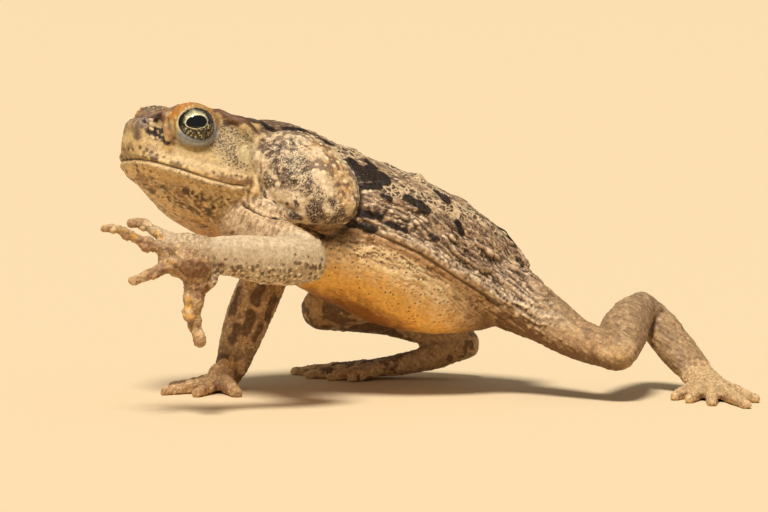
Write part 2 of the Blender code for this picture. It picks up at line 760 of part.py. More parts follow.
def cut_neck_and_jaw(body, frame):
    turn = frame.to_3x3().to_4x4() @ axes((0, 0, 1), (1, 0, 0))
    middle = frame @ Vector((NECK_CUT, 0, NECK_CUT_UP))
    boolean(body, box(middle, (NECK_CUT_HALF, NECK_CUT_HALF, GAP / 2), turn), "DIFFERENCE")
    line = smooth_row([(a, c, 0) for a, c in (*MOUTH, *JAW_REAR)], 40)
    slope = np.gradient(line, axis=0)
    square = np.stack([-slope[:, 1], slope[:, 0]], 1) / np.linalg.norm(slope, axis=1)[:, None]
    edge = np.concatenate([line[:, :2] + square * GAP / 2, (line[:, :2] - square * GAP / 2)[::-1]])
    sides = (-NECK_CUT_HALF, NECK_CUT_HALF)
    sheet = loft([[frame @ Vector((a, side, c)) for a, c in edge] for side in sides])
    boolean(body, sheet, "DIFFERENCE")


def carve_glands(body):
    """Each gland leaves a bowl in the neck. The cutter is tall over it, so it cuts only under the rim."""
    made = []
    for flip, name in ((1, "parotoid_left"), (-1, "parotoid_right")):
        centre, turn = gland_place(flip)
        made.append(carve(body, name, *[bowl(centre, turn, grow) for grow in (0, GAP)]))
    return made


def bowl(centre, turn, grow):
    """An ellipsoid that is shallow under the gland and tall above it."""
    shape = bmesh.new()
    bmesh.ops.create_uvsphere(shape, u_segments=BOWL_SIDES, v_segments=BOWL_SIDES // 2, radius=1)
    for vertex in shape.verts:
        reach = GLAND_FLARE if vertex.co.z > 0 else GLAND_DEPTH
        vertex.co.x *= GLAND_HALF.x + grow
        vertex.co.y *= GLAND_HALF.y + grow
        vertex.co.z *= reach + grow
    bmesh.ops.transform(shape, matrix=Matrix.Translation(centre) @ turn, verts=shape.verts)
    return shape


def make_eye(body, frame, flip, side_name):
    """Socket, opening between the lids, upper lid and eyeball."""
    side = Matrix.Diagonal((1, flip, 1, 1))
    centre = frame @ side @ EYE
    gaze = (frame.to_3x3() @ side.to_3x3() @ EYE_GAZE).normalized()
    turn = axes(frame.to_3x3() @ Vector((1, 0, 0)), gaze)
    hole = bmesh.new()
    bmesh.ops.create_cone(hole, segments=24, radius1=1, radius2=1.15, depth=12, cap_ends=True)
    sizes = Matrix.Diagonal((*EYE_OPENING, 1, 1))
    bmesh.ops.transform(hole, matrix=Matrix.Translation(centre + gaze * 6) @ turn @ sizes, verts=hole.verts)
    boolean(body, hole, "DIFFERENCE")
    boolean(body, ball(centre, (SOCKET_RADIUS,) * 3, turn, parts=SOCKET_SIDES), "DIFFERENCE")
    tilt = Matrix.Rotation(LID_EDGE_TURN, 4, "Y")
    upright = frame.to_3x3().to_4x4() @ tilt
    above = upright.to_3x3() @ Vector((0, 0, 1))
    domes = []
    for grow in (0, GAP):
        dome = ball(centre, (LID_REACH + grow,) * 3, upright, parts=LID_SIDES)
        domes.append(cut_flat(dome, centre - above * grow, above))
    lid = carve(body, "upper_lid_" + side_name, *domes)
    eye = to_object("eye_" + side_name, ball(centre, (EYE_RADIUS,) * 3, turn, parts=EYE_SIDES))
    return [lid, eye]


def cut_flat(shape, point, normal):
    """Keeps the half of a closed shape that lies on the normal's side of a plane, closed again."""
    geometry = shape.verts[:] + shape.edges[:] + shape.faces[:]
    cut = bmesh.ops.bisect_plane(shape, geom=geometry, plane_co=point, plane_no=normal, clear_inner=True)
    edges = [e for e in cut["geom_cut"] if isinstance(e, bmesh.types.BMEdge)]
    bmesh.ops.contextual_create(shape, geom=edges)
    bmesh.ops.recalc_face_normals(shape, faces=shape.faces)
    return shape


def make_ear(body, frame, flip, side_name):
    """Eardrum: a disc in a shallow pocket, with its face in the skin."""
    tree = BVHTree.FromPolygons([v.co for v in body.data.vertices], [p.vertices for p in body.data.polygons])
    start = frame @ Vector((TYMPANUM[0], flip * 40, TYMPANUM[1]))
    inwards = frame.to_3x3() @ Vector((0, -flip, 0))
    place, normal, _, _ = tree.ray_cast(start, inwards)
    turn = axes(frame.to_3x3() @ Vector((1, 0, 0)), normal)
    discs = []
    for grow in (0, GAP):
        disc = bmesh.new()
        reach = TYMPANUM_DEPTH + grow
        wide = TYMPANUM_RADIUS + grow
        depth = reach + TYMPANUM_PROUD
        bmesh.ops.create_cone(disc, segments=20, radius1=wide, radius2=wide, depth=depth, cap_ends=True)
        middle = place + normal * (TYMPANUM_PROUD - reach) / 2
        bmesh.ops.transform(disc, matrix=Matrix.Translation(middle) @ turn, verts=disc.verts)
        discs.append(disc)
    return carve(body, "tympanum_" + side_name, *discs)


def cut_nostrils(body, frame):
    upright = frame.to_3x3().to_4x4()
    for flip in (1, -1):
        place = frame @ Vector((NOSTRIL.x, flip * NOSTRIL.y, NOSTRIL.z))
        boolean(body, ball(place, NOSTRIL_HALF, upright, parts=12), "DIFFERENCE")


def limb_seeds():
    """A point well inside the trunk and each piece that the cuts across the limbs leave."""
    found = {"torso": Vector((0, 0, 45))}
    for node in LIMBS:
        if not node.startswith("upper_arm"):
            found[node] = along(node, 0.7 if node.startswith("thigh") else 0.5)[0]
    for node, (line, _, _, _) in PADS.items():
        found[node] = Vector(smooth_row(line, 21)[12])
    return found


def head_seeds(frame):
    return {
        "head": frame @ Vector((-4, 0, -8)),
        "lower_jaw": frame @ Vector((-2, 0, -21)),
        "torso": Vector((0, 0, 45)),
    }


def holds(tree, point):
    """Whether a point lies inside a closed surface."""
    crossings = 0
    start = point.copy()
    way = Vector((0.123, 0.231, 0.965)).normalized()
    while True:
        hit, _, _, _ = tree.ray_cast(start, way)
        if hit is None:
            return crossings % 2 == 1
        crossings += 1
        start = hit + way * 0.001


def parted(body, points):
    """One object for each separate piece of the body that holds a seed point."""
    made = []
    body.name = "whole"
    for faces in shells(body.data):
        mesh = body.data.copy()
        keep_faces(mesh, faces)
        tree = BVHTree.FromPolygons([v.co for v in mesh.vertices], [p.vertices for p in mesh.polygons])
        names = [name for name, point in points.items() if holds(tree, point)]
        if len(names) == 1:
            made.append(new_object(names[0], mesh))
        else:
            bpy.data.meshes.remove(mesh)
    remove(body)
    return made


def material(name):
    made = bpy.data.materials.new(name)
    made.use_nodes = True
    shader = made.node_tree.nodes["Principled BSDF"]
    family = name.removesuffix("_left").removesuffix("_right")
    shader.inputs["Base Color"].default_value = (*COLOURS[family], 1)
    shader.inputs["Roughness"].default_value = EYE_ROUGHNESS if family == "eye" else SKIN_ROUGHNESS
    shader.inputs["Metallic"].default_value = 0
    made.diffuse_color = (*COLOURS[family], 1)
    return made


def finish(pieces):
    """Puts the middle of the footprint at the origin and the floor at zero, in metres."""
    group = bpy.data.collections.new("cane_toad")
    bpy.context.scene.collection.children.link(group)
    points = np.concatenate([[v.co for v in piece.data.vertices] for piece in pieces])
    low, high = points.min(0), points.max(0)
    shift = Matrix.Translation((-(low[0] + high[0]) / 2, -(low[1] + high[1]) / 2, -FLOOR))
    for piece in pieces:
        piece.data.transform(Matrix.Scale(MM, 4) @ shift)
        piece.data.materials.clear()
        piece.data.materials.append(material(piece.name))
        piece.data.shade_smooth()
        piece.data.set_sharp_from_angle(angle=math.radians(50))
        bpy.context.scene.collection.objects.unlink(piece)
        group.objects.link(piece)


def main():
    for thing in list(bpy.data.objects):
        bpy.data.objects.remove(thing)
    frame = head_frame()
    body = fused(body_shapes(frame))
    relax(body.data, 3, 0.0)
    relax(body.data, 6, 0.53)
    thinned(body)
    boolean(body, box((0, 0, FLOOR - 50), (200, 200, 50)), "DIFFERENCE")
    pieces = carve_glands(body)
    for flip, side in ((1, "left"), (-1, "right")):
        pieces += make_eye(body, frame, flip, side)
        pieces.append(make_ear(body, frame, flip, side))
    cut_nostrils(body, frame)
    cut_limbs(body)
    limbs = parted(body, limb_seeds())
    trunk = next(piece for piece in limbs if piece.name == "torso")
    limbs.remove(trunk)
    pieces += limbs + [carve_arm(trunk, side) for side in ("left", "right")]
    cut_neck_and_jaw(trunk, frame)
    pieces += parted(trunk, head_seeds(frame))
    finish(pieces)


main()
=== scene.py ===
"""Looks of a walking cane toad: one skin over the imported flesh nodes, two eyes, a pale floor and soft light.

The skin is worked in millimetres, in the frame in which the body was designed: X from snout to rump, Y to
the toad's right, Z up. The head has a frame of its own: ahead, left and up. Marks on the near side are
placed by pixels of the camera's frame, cast on to the skin, and mirrored to the far side.
"""

import itertools
import math

import bmesh
import bpy
import numpy as np
from mathutils import Matrix, Vector
from mathutils.bvhtree import BVHTree
from mathutils.kdtree import KDTree


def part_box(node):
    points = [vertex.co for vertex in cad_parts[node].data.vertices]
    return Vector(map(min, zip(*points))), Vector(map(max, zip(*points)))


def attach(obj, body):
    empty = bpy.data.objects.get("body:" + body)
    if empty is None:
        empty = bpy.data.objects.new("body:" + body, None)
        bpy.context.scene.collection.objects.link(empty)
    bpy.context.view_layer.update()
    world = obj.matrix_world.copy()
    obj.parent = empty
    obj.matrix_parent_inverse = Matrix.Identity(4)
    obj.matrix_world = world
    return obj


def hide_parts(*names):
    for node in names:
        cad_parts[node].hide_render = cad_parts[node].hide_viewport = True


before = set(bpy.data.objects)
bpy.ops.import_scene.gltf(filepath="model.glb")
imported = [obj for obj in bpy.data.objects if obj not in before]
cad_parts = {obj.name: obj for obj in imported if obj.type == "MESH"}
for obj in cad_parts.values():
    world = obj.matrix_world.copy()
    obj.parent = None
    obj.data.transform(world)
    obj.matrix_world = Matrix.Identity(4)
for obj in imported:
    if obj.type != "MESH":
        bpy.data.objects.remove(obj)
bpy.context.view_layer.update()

# Metres in a millimetre, the picture's size in pixels, the grain of the skin's mesh, how far the solids are
# grown to close the cuts between them, which is taken back after, and how near points are made one.
MM = 0.001
WIDTH, HEIGHT = 768, 512
VOXEL = 0.36
CLOSE = 0.28
WELD = 0.0005
AROUND = tuple(itertools.product((-1, 0, 1), repeat=3))

# The head's frame, how far back and down marks are taken as the head's, and places and lines in its frame.
# Nearer than its guard, an eye or nostril is hardly smoothed.
HEAD_ORIGIN = Vector((-61.2, -4.0, 80.6))
NECK, CHIN_HEIGHT = -46, 50
HEAD_YAW, HEAD_PITCH, HEAD_ROLL = math.radians(17), math.radians(12), math.radians(5)
EYE = Vector((1.0, 12.4, -0.5))
EYE_RADIUS = 5.9
EYE_GAZE = Vector((0.16, 1.0, 0.06))
EYE_OPENING = (5.5, 4.52)
RIM_SNAP = 0.042
TYMPANUM = (-13.4, -5.8)
NOSTRIL = (11.6, 5.6, -1.9)
EYE_GUARD, NOSE_GUARD = (9.0, 7.4), (3.0, 1.6)
MOUTH = ((-14.6, -15.4), (-9.0, -15.7), (-3.0, -15.1), (4.0, -13.7), (10.0, -12.6), (15.0, -12.1),
         (24.0, -11.8))

# The gland and the line of the flank's fold, in the design frame.
GLAND = Vector((-26.8, -17.8, 65.6))
GLAND_HALF = (17.8, 12.2)
GLAND_LENGTH = Vector((0.68, -0.25, -0.69))
GLAND_OUT = Vector((0.0, -0.80, 0.60))
FOLD = ((-40.0, 56.0), (-20.0, 53.2), (-9.0, 51.2), (-2.4, 48.4), (5.0, 45.0), (11.7, 40.6), (18.0, 36.6),
        (25.0, 32.4), (31.0, 27.8), (40.0, 21.5))

# The families of nodes: how much each is smoothed, and its colour under the marks.
FAMILIES = {
    "head": (0.10, (0.62, 0.42, 0.18)), "lower_jaw": (0.30, (0.80, 0.52, 0.23)),
    "torso": (1.0, (0.36, 0.22, 0.125)), "parotoid": (0.8, (0.68, 0.49, 0.28)),
    "tympanum": (0.3, (0.62, 0.48, 0.25)), "upper_lid": (0.05, (0.50, 0.25, 0.06)),
    "upper_arm": (0.6, (0.56, 0.38, 0.21)), "forearm": (0.5, (0.56, 0.42, 0.26)),
    "hand": (0.05, (0.45, 0.27, 0.12)), "thigh": (0.8, (0.50, 0.30, 0.13)),
    "shank": (0.6, (0.42, 0.258, 0.127)), "tarsus": (0.4, (0.46, 0.29, 0.14)),
    "foot": (0.06, (0.60, 0.40, 0.20)),
}

# The camera, in the design frame.
TARGET = Vector((0.0, 0.0, 42.0))
DISTANCE = 1236.0
LENS, SENSOR = 200.0, 36.0
YAW, DOWN = math.radians(12), math.radians(5)

# The way to the sun, how strong and wide it is, the sky's strength, and half the floor's side in metres.
SUN = (-0.30, -0.62, 1.25)
SUN_STRENGTH, SUN_SPREAD = 3.9, math.radians(16)
SKY_STRENGTH = 0.28
FLOOR_HALF = 6.0


def head_matrix():
    """From the head's frame to the design frame."""
    level = Vector((-math.cos(HEAD_YAW), -math.sin(HEAD_YAW), 0))
    left = Vector((math.sin(HEAD_YAW), -math.cos(HEAD_YAW), 0))
    up = Vector((0, 0, 1))
    ahead = level * math.cos(HEAD_PITCH) + up * math.sin(HEAD_PITCH)
    up = up * math.cos(HEAD_PITCH) - level * math.sin(HEAD_PITCH)
    side = left * math.cos(HEAD_ROLL) + up * math.sin(HEAD_ROLL)
    top = up * math.cos(HEAD_ROLL) - left * math.sin(HEAD_ROLL)
    return Matrix.Translation(HEAD_ORIGIN) @ Matrix((ahead, side, top)).transposed().to_4x4()


HEAD = head_matrix()
eye_low, eye_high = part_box("eye_left")
SHIFT = (eye_low + eye_high) / 2 / MM - HEAD @ EYE
TO_METRES = Matrix.Scale(MM, 4) @ Matrix.Translation(SHIFT)
TO_DESIGN = TO_METRES.inverted()

sight = Vector((math.sin(YAW) * math.cos(DOWN), math.cos(YAW) * math.cos(DOWN), -math.sin(DOWN)))
right = Vector((math.cos(YAW), -math.sin(YAW), 0))
above = right.cross(sight)
CAMERA = TARGET - DISTANCE * sight
SCALE = WIDTH * LENS / SENSOR


# Small helpers on arrays.

def step(low, high, x):
    """Rises smoothly from 0 at low to 1 at high."""
    t = np.clip((x - low) / (high - low), 0, 1)
    return t * t * (3 - 2 * t)


def hump(x, width):
    """A bell over 0."""
    return np.exp(-(x / width) ** 2)


def lattice(i, j, k, seed):
    """A random number from 0 to 1 for each place with whole coordinates."""
    h = (i * 374761393 + j * 668265263 + k * 2147483629 + seed * 1442695041) & 0xFFFFFFFF
    h = ((h ^ (h >> 13)) * 1274126177) & 0xFFFFFFFF
    h = ((h ^ (h >> 15)) * 2246822519) & 0xFFFFFFFF
    return (h ^ (h >> 16)) / 4294967296.0


def noise(points, size, seed):
    """Smooth noise from -1 to 1, with features of about the given size, which may be one for each axis."""
    p = points / np.asarray(size, float)
    base = np.floor(p).astype(np.int64)
    f = p - base
    f = f * f * f * (f * (f * 6 - 15) + 10)
    total = 0
    for corner in range(8):
        d = (corner & 1, corner >> 1 & 1, corner >> 2 & 1)
        weight = 1
        for axis in range(3):
            weight = weight * (f[:, axis] if d[axis] else 1 - f[:, axis])
        total = total + weight * lattice(*(base + d).T, seed)
    return total * 2 - 1


def fractal(points, size, seed, octaves=3):
    size = np.asarray(size, float)
    total, weight, whole = 0, 1.0, 0
    for k in range(octaves):
        total = total + weight * noise(points, size / 2**k, seed + 17 * k)
        whole += weight
        weight *= 0.55
    return total / whole * 1.5


def cells(points, size, seed):
    """Distance to the nearest random point, in cell sizes, and the number of that point."""
    p = points / size
    base = np.floor(p).astype(np.int64)
    best = np.full(len(p), 9.0)
    number = np.zeros(len(p))
    for shift in AROUND:
        c = (base + shift).T
        at = [c[a] + 0.15 + 0.7 * lattice(*c, seed + 5 * a) for a in range(3)]
        d = np.sqrt(sum((at[a] - p[:, a]) ** 2 for a in range(3)))
        closer = d < best
        number = np.where(closer, lattice(*c, seed + 77), number)
        best = np.where(closer, d, best)
    return best, number


def clamp(x):
    return np.clip(x, 0, 1)


def mix(a, b, t):
    return a + (np.asarray(b, float) - a) * t[:, None]


def add_object(name, data):
    made = bpy.data.objects.new(name, data)
    bpy.context.scene.collection.objects.link(made)
    return made


# The skin's mesh.

def base_skin():
    """One closed surface over all the flesh nodes, with the cuts between them filled."""
    whole = bmesh.new()
    owners, corners, names = [], [], []
    for name, node in sorted(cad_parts.items()):
        part = bmesh.new()
        part.from_mesh(node.data)
        bmesh.ops.transform(part, matrix=TO_DESIGN, verts=part.verts)
        bmesh.ops.remove_doubles(part, verts=part.verts, dist=WELD)
        bmesh.ops.recalc_face_normals(part, faces=part.faces)
        part.normal_update()
        if not name.startswith("eye"):
            names.append(name)
            owners += [len(names) - 1] * len(part.faces)
            corners += [[v.co.copy() for v in face.verts] for face in part.faces]
        moves = [v.normal * CLOSE for v in part.verts]
        for vertex, move in zip(part.verts, moves):
            vertex.co += move
        mesh = bpy.data.meshes.new("part")
        part.to_mesh(mesh)
        part.free()
        whole.from_mesh(mesh)
        bpy.data.meshes.remove(mesh)
    points = [c for face in corners for c in face]
    faces, at = [], 0
    for face in corners:
        faces.append(tuple(range(at, at + len(face))))
        at += len(face)
    tree = BVHTree.FromPolygons(points, faces)
    mesh = bpy.data.meshes.new("skin")
    whole.to_mesh(mesh)
    whole.free()
    skin = add_object("skin", mesh)
    remesh = skin.modifiers.new("fuse", "REMESH")
    remesh.mode = "VOXEL"
    remesh.voxel_size = VOXEL
    graph = bpy.context.evaluated_depsgraph_get()
    made = bpy.data.meshes.new_from_object(skin.evaluated_get(graph), depsgraph=graph)
    skin.modifiers.clear()
    skin.data = made
    bpy.data.meshes.remove(mesh)
    keep_largest(made)
    return skin, tree, owners, names


def arrays(mesh):
    """The places of a mesh's points, and the two ends of each edge."""
    points = np.empty(len(mesh.vertices) * 3)
    mesh.vertices.foreach_get("co", points)
    ends = np.empty(len(mesh.edges) * 2, np.int32)
    mesh.edges.foreach_get("vertices", ends)
    return points.reshape(-1, 3), ends.reshape(-1, 2)


def keep_largest(mesh):
    """Drops every separate surface but the largest."""
    points, ends = arrays(mesh)
    label = np.arange(len(points))
    while True:
        low = np.minimum(label[ends[:, 0]], label[ends[:, 1]])
        fresh = label.copy()
        np.minimum.at(fresh, ends[:, 0], low)
        np.minimum.at(fresh, ends[:, 1], low)
        fresh = fresh[fresh]
        if (fresh == label).all():
            break
        label = fresh
    best = np.bincount(label).argmax()
    made = bmesh.new()
    made.from_mesh(mesh)
    drop = [v for v, at in zip(made.verts, label) if at != best]
    bmesh.ops.delete(made, geom=drop, context="VERTS")
    made.to_mesh(mesh)
    made.free()


class Surface:
    """The skin's points, and smoothing over its edges."""

    def __init__(self, mesh):
        self.mesh = mesh
        self.points, ends = arrays(mesh)
        self.one, self.two = ends.T
        self.count = len(self.points)
        self.degree = np.bincount(ends.ravel(), minlength=self.count)

    def mean(self, values):
        a = np.bincount(self.one, values[self.two], self.count)
        return (a + np.bincount(self.two, values[self.one], self.count)) / self.degree

    def blur(self, values, rounds):
        for _ in range(rounds):
            values = 0.4 * values + 0.6 * self.mean(values)
        return values

    def smooth(self, weight, rounds, back):
        """Evens the points. A step back in each round keeps forms their size."""
        for factor in (0.55, -back) * rounds:
            for axis in range(3):
                line = self.points[:, axis]
                self.points[:, axis] = line + factor * weight * (self.mean(line) - line)

    def normals(self):
        self.mesh.vertices.foreach_set("co", self.points.ravel())
        self.mesh.update()
        found = np.empty(self.count * 3)
        self.mesh.vertex_normals.foreach_get("vector", found)
        return found.reshape(-1, 3)


def regions(surface, tree, owners, names):
    """How much each family of nodes owns of each point."""
    owner = np.empty(surface.count, int)
    for i, p in enumerate(surface.points):
        _, _, face, _ = tree.find_nearest(p)
        owner[i] = owners[face]
    family = [list(FAMILIES).index(n.removesuffix("_left").removesuffix("_right")) for n in names]
    kind = np.array(family)[owner]
    return {name: surface.blur((kind == i).astype(float), 9) for i, name in enumerate(FAMILIES)}


def head_points(points):
    """Points in the head's frame."""
    turn = np.array(HEAD.to_3x3())
    return (points - np.array(HEAD_ORIGIN)) @ turn


def opening_share(x, y):
    """How far out from the middle of an eye's opening a place is, where its edge is 1."""
    return np.sqrt((x / EYE_OPENING[0]) ** 2 + (y / EYE_OPENING[1]) ** 2)


def eye_axes(flip):
    """Centre of one eye, and the directions ahead, up and out of it."""
    turn = HEAD.to_3x3()
    gaze = (turn @ Vector((EYE_GAZE.x, flip * EYE_GAZE.y, EYE_GAZE.z))).normalized()
    ahead = turn @ Vector((1, 0, 0))
    ahead = (ahead - gaze * gaze.dot(ahead)).normalized()
    up = gaze.cross(ahead) if flip < 0 else ahead.cross(gaze)
    return HEAD @ Vector((EYE.x, flip * EYE.y, EYE.z)), ahead, up, gaze


def local(points, centre, *directions):
    """How far points lie from a centre in each direction."""
    away = points - np.array(centre)
    return [away @ np.array(d) for d in directions]


class Marks:
    """Finds places on the skin by the camera's pixels, and masks near them on both sides."""

    def __init__(self, surface):
        faces = [tuple(p.vertices) for p in surface.mesh.polygons]
        self.tree = BVHTree.FromPolygons([Vector(p) for p in surface.points], faces)
        self.points = surface.points.copy()
        self.head = head_points(self.points)
        ahead, aside, over = local(self.points, CAMERA, sight, right, above)
        self.pixels = np.stack([WIDTH / 2 + SCALE * aside / ahead, HEIGHT / 2 - SCALE * over / ahead], 1)

    def at(self, u, v):
        """The place at a pixel, or the nearest one on the outline where the pixel shows none."""
        ray = sight + right * (u - WIDTH / 2) / SCALE - above * (v - HEIGHT / 2) / SCALE
        hit = self.tree.ray_cast(CAMERA, ray.normalized())[0]
        if hit is None:
            gap = np.linalg.norm(self.pixels - (u, v), axis=1)
            hit = self.points[gap.argmin()]
        return hit

    def across(self, places):
        """The same places on the toad's other side. The head has its own middle."""
        if places[0][0] < NECK and places[0][2] > CHIN_HEIGHT:
            return [np.array(HEAD @ Vector(head_points(p[None])[0] * (1, -1, 1))) for p in places]
        return [p * (1, -1, 1) for p in places]

    def mask(self, lines, soft=0.5, warp=None, both=True):
        """How far within a line each point is. A line is its pixels, each across and down, then a radius."""
        found = np.zeros(len(self.points))
        for *pixels, radius in lines:
            places = [np.array(self.at(*p)) for p in zip(pixels[::2], pixels[1::2])]
            reach = radius + soft - (0 if warp is None else warp.min())
            for line in (places, self.across(places)) if both else (places,):
                low, high = np.min(line, axis=0) - reach, np.max(line, axis=0) + reach
                near = np.nonzero(((self.points > low) & (self.points < high)).all(1))[0]
                some = self.points[near]
                gap = np.full(len(some), 1e9)
                for a, b in zip(line, line[1:] if len(line) > 1 else line):
                    way = b - a
                    t = np.clip((some - a) @ way / max(way @ way, 1e-9), 0, 1)
                    gap = np.minimum(gap, np.linalg.norm(some - a - t[:, None] * way, axis=1))
                if warp is not None:
                    gap = gap + warp[near]
                found[near] = np.maximum(found[near], step(radius + soft, radius - soft, gap))
        return found


# The forms of the skin.

def above_line(line, points):
    """Distance above a line that is given by its corners, from the lowest along to the highest."""
    x, z = np.array(line).T
    height = np.interp(points[:, 0], x, z)
    slope = np.interp(points[:, 0], x, np.gradient(z, x))
    return (points[:, 2] - height) / np.sqrt(1 + slope**2)


def fold_place(points):
    """Distance above the flank's fold, and distance along it, on either side."""
    return above_line(FOLD, points), points[:, 0]


def scatter(points, density, sizes, seed, room):
    """Numbers and radii of random points for warts, none nearer to another than room times their radii."""
    rng = np.random.default_rng(seed)
    order = rng.permutation(len(points))
    chance = density[order]
    radii = sizes[0] + (sizes[1] - sizes[0]) * rng.random(len(points)) ** 1.6
    draws = rng.random(len(points))
    cell = 2 * sizes[1] * room
    grid = {}
    chosen = []
    for k in np.nonzero(draws < chance)[0]:
        p, r = points[order[k]], radii[k]
        x, y, z = (int(c // cell) for c in p)
        near = (other for a, b, c in AROUND for other in grid.get((x + a, y + b, z + c), ()))
        if all((p - q) @ (p - q) >= (room * (r + s)) ** 2 for q, s in near):
            grid.setdefault((x, y, z), []).append((p, r))
            chosen.append((order[k], r))
    return chosen


def raise_warts(points, tree, chosen, height, sharp, seed):
    """What the chosen warts add at each point, how far up its wart that is, and the number of the wart.

    height is given at each point, so that warts grow lower towards the edge of their region.
    """
    rng = np.random.default_rng(seed)
    rise, share, number = np.zeros((3, len(points)))
    for i, r in chosen:
        tall = height[i] * r * (0.7 + 0.6 * rng.random())
        tone = rng.random()
        for _, j, d in tree.find_range(points[i], r):
            up = (1 - (d / r) ** 2) ** sharp
            rise[j] = max(rise[j], tall * up)
            if up > share[j]:
                share[j] = up
                number[j] = tone
    return rise, share, number


def shape_skin(surface, w):
    """Smooths away the solids' facets, except round the eyes and nostrils."""
    points = surface.points
    protect = np.zeros(surface.count)
    head = head_points(points)
    for flip in (1, -1):
        away = np.linalg.norm(points - np.array(eye_axes(flip)[0]), axis=1)
        protect = np.maximum(protect, step(*EYE_GUARD, away))
        nose = np.linalg.norm(head - np.multiply(NOSTRIL, (1, flip, 1)), axis=1)
        protect = np.maximum(protect, step(*NOSE_GUARD, nose))
    amount = sum(share * w[name] for name, (share, _) in FAMILIES.items()) * (1 - 0.93 * protect)
    surface.smooth(np.ones(surface.count) * 0.5 * (1 - 0.7 * protect), 4, 0.0)
    surface.smooth(amount, 45, 0.52)
    surface.points = surface.points - surface.normals() * CLOSE
    fit_lids(surface)


def fit_lids(surface):
    """Sinks the skin behind each eyeball, and lays a rounded rim round its opening."""
    close, slope = np.zeros((2, surface.count))
    for flip in (1, -1):
        centre, ahead, up, gaze = eye_axes(flip)
        x, y, z = local(surface.points, centre, ahead, up, gaze)
        q = opening_share(x, y)
        away = np.sqrt(x * x + y * y + z * z)
        beside = step(1.24, 1.42, q) * step(3.1, 2.3, q) * step(-2.5, 0.5, x) * step(3.4, 1.4, y)
        slope = np.maximum(slope, beside * (z > -2.5) * (away < 16))
        near = np.nonzero((z > 0.4) & (away < 12) & (q < 1.8))[0]
        x, y, z, q, away = x[near], y[near], z[near], q[near], away[near]
        lower = step(0.8, -0.8, y)
        bead = 0.08 + (0.30 + 0.04 * lower) * step(0.97, 1.16, q) - 0.26 * lower * step(1.22, 1.38, q)
        rim = EYE_RADIUS + bead
        on_rim = abs(q - 1) < RIM_SNAP
        wish = np.where(q < 1 - RIM_SNAP, EYE_RADIUS - 0.6, rim)
        part = np.where(lower > 0.5, step(1.62, 1.30, q), step(1.42, 1.10, q))
        scale = 1 + part * (wish / away - 1)
        x, y, z = x * scale, y * scale, z * scale
        edge_x, edge_y = x / q / scale, y / q / scale
        edge_z = np.sqrt(np.maximum(rim**2 - edge_x**2 - edge_y**2, 0.5))
        x, y, z = np.where(on_rim, edge_x, x), np.where(on_rim, edge_y, y), np.where(on_rim, edge_z, z)
        moved = x[:, None] * np.array(ahead) + y[:, None] * np.array(up) + z[:, None] * np.array(gaze)
        surface.points[near] = np.array(centre) + moved
        close[near] = step(1.10, 1.20, q) * step(1.8, 1.6, q)
    surface.smooth(close * 0.8, 5, 0.0)
    surface.smooth(slope * 0.95, 36, 0.0)


def ridged(points, size, seed):
    """Like noise, but with sharp ridges."""
    return 1 - 2 * abs(noise(points, size, seed))


def turned(places, cosine, sine):
    """Places with their first two axes turned."""
    x, y, z = places.T
    return np.stack([cosine * x + sine * y, cosine * y - sine * x, z], 1)


def limb_place(points):
    """Places on axes along and across the raised arm."""
    return turned(points[:, (0, 2, 1)], 0.82, -0.57)


def trunk_of(w, along):
    """The trunk with the near part of the thighs, which has the flank's skin."""
    return clamp(w["torso"] + w["thigh"] * step(54, 34, along) * step(16, 26, along))


def height_of_folds(along):
    """How far above the flank's fold its wrinkles end."""
    return 13.5 + 8 * step(-2, 20, along)


def add_lobe(marks, w):
    """Gives the gland the lobe under its lower front edge."""
    w["lobe"] = marks.mask(LOBE, soft=0.8)
    for name in ("upper_arm", "torso", "forearm", "head", "lower_jaw"):
        w[name] = w[name] * (1 - w["lobe"])
    w["parotoid"] = clamp(w["parotoid"] + w["lobe"])


def face_of(w):
    return clamp(w["head"] + w["lower_jaw"] + w["upper_lid"] + w["tympanum"])


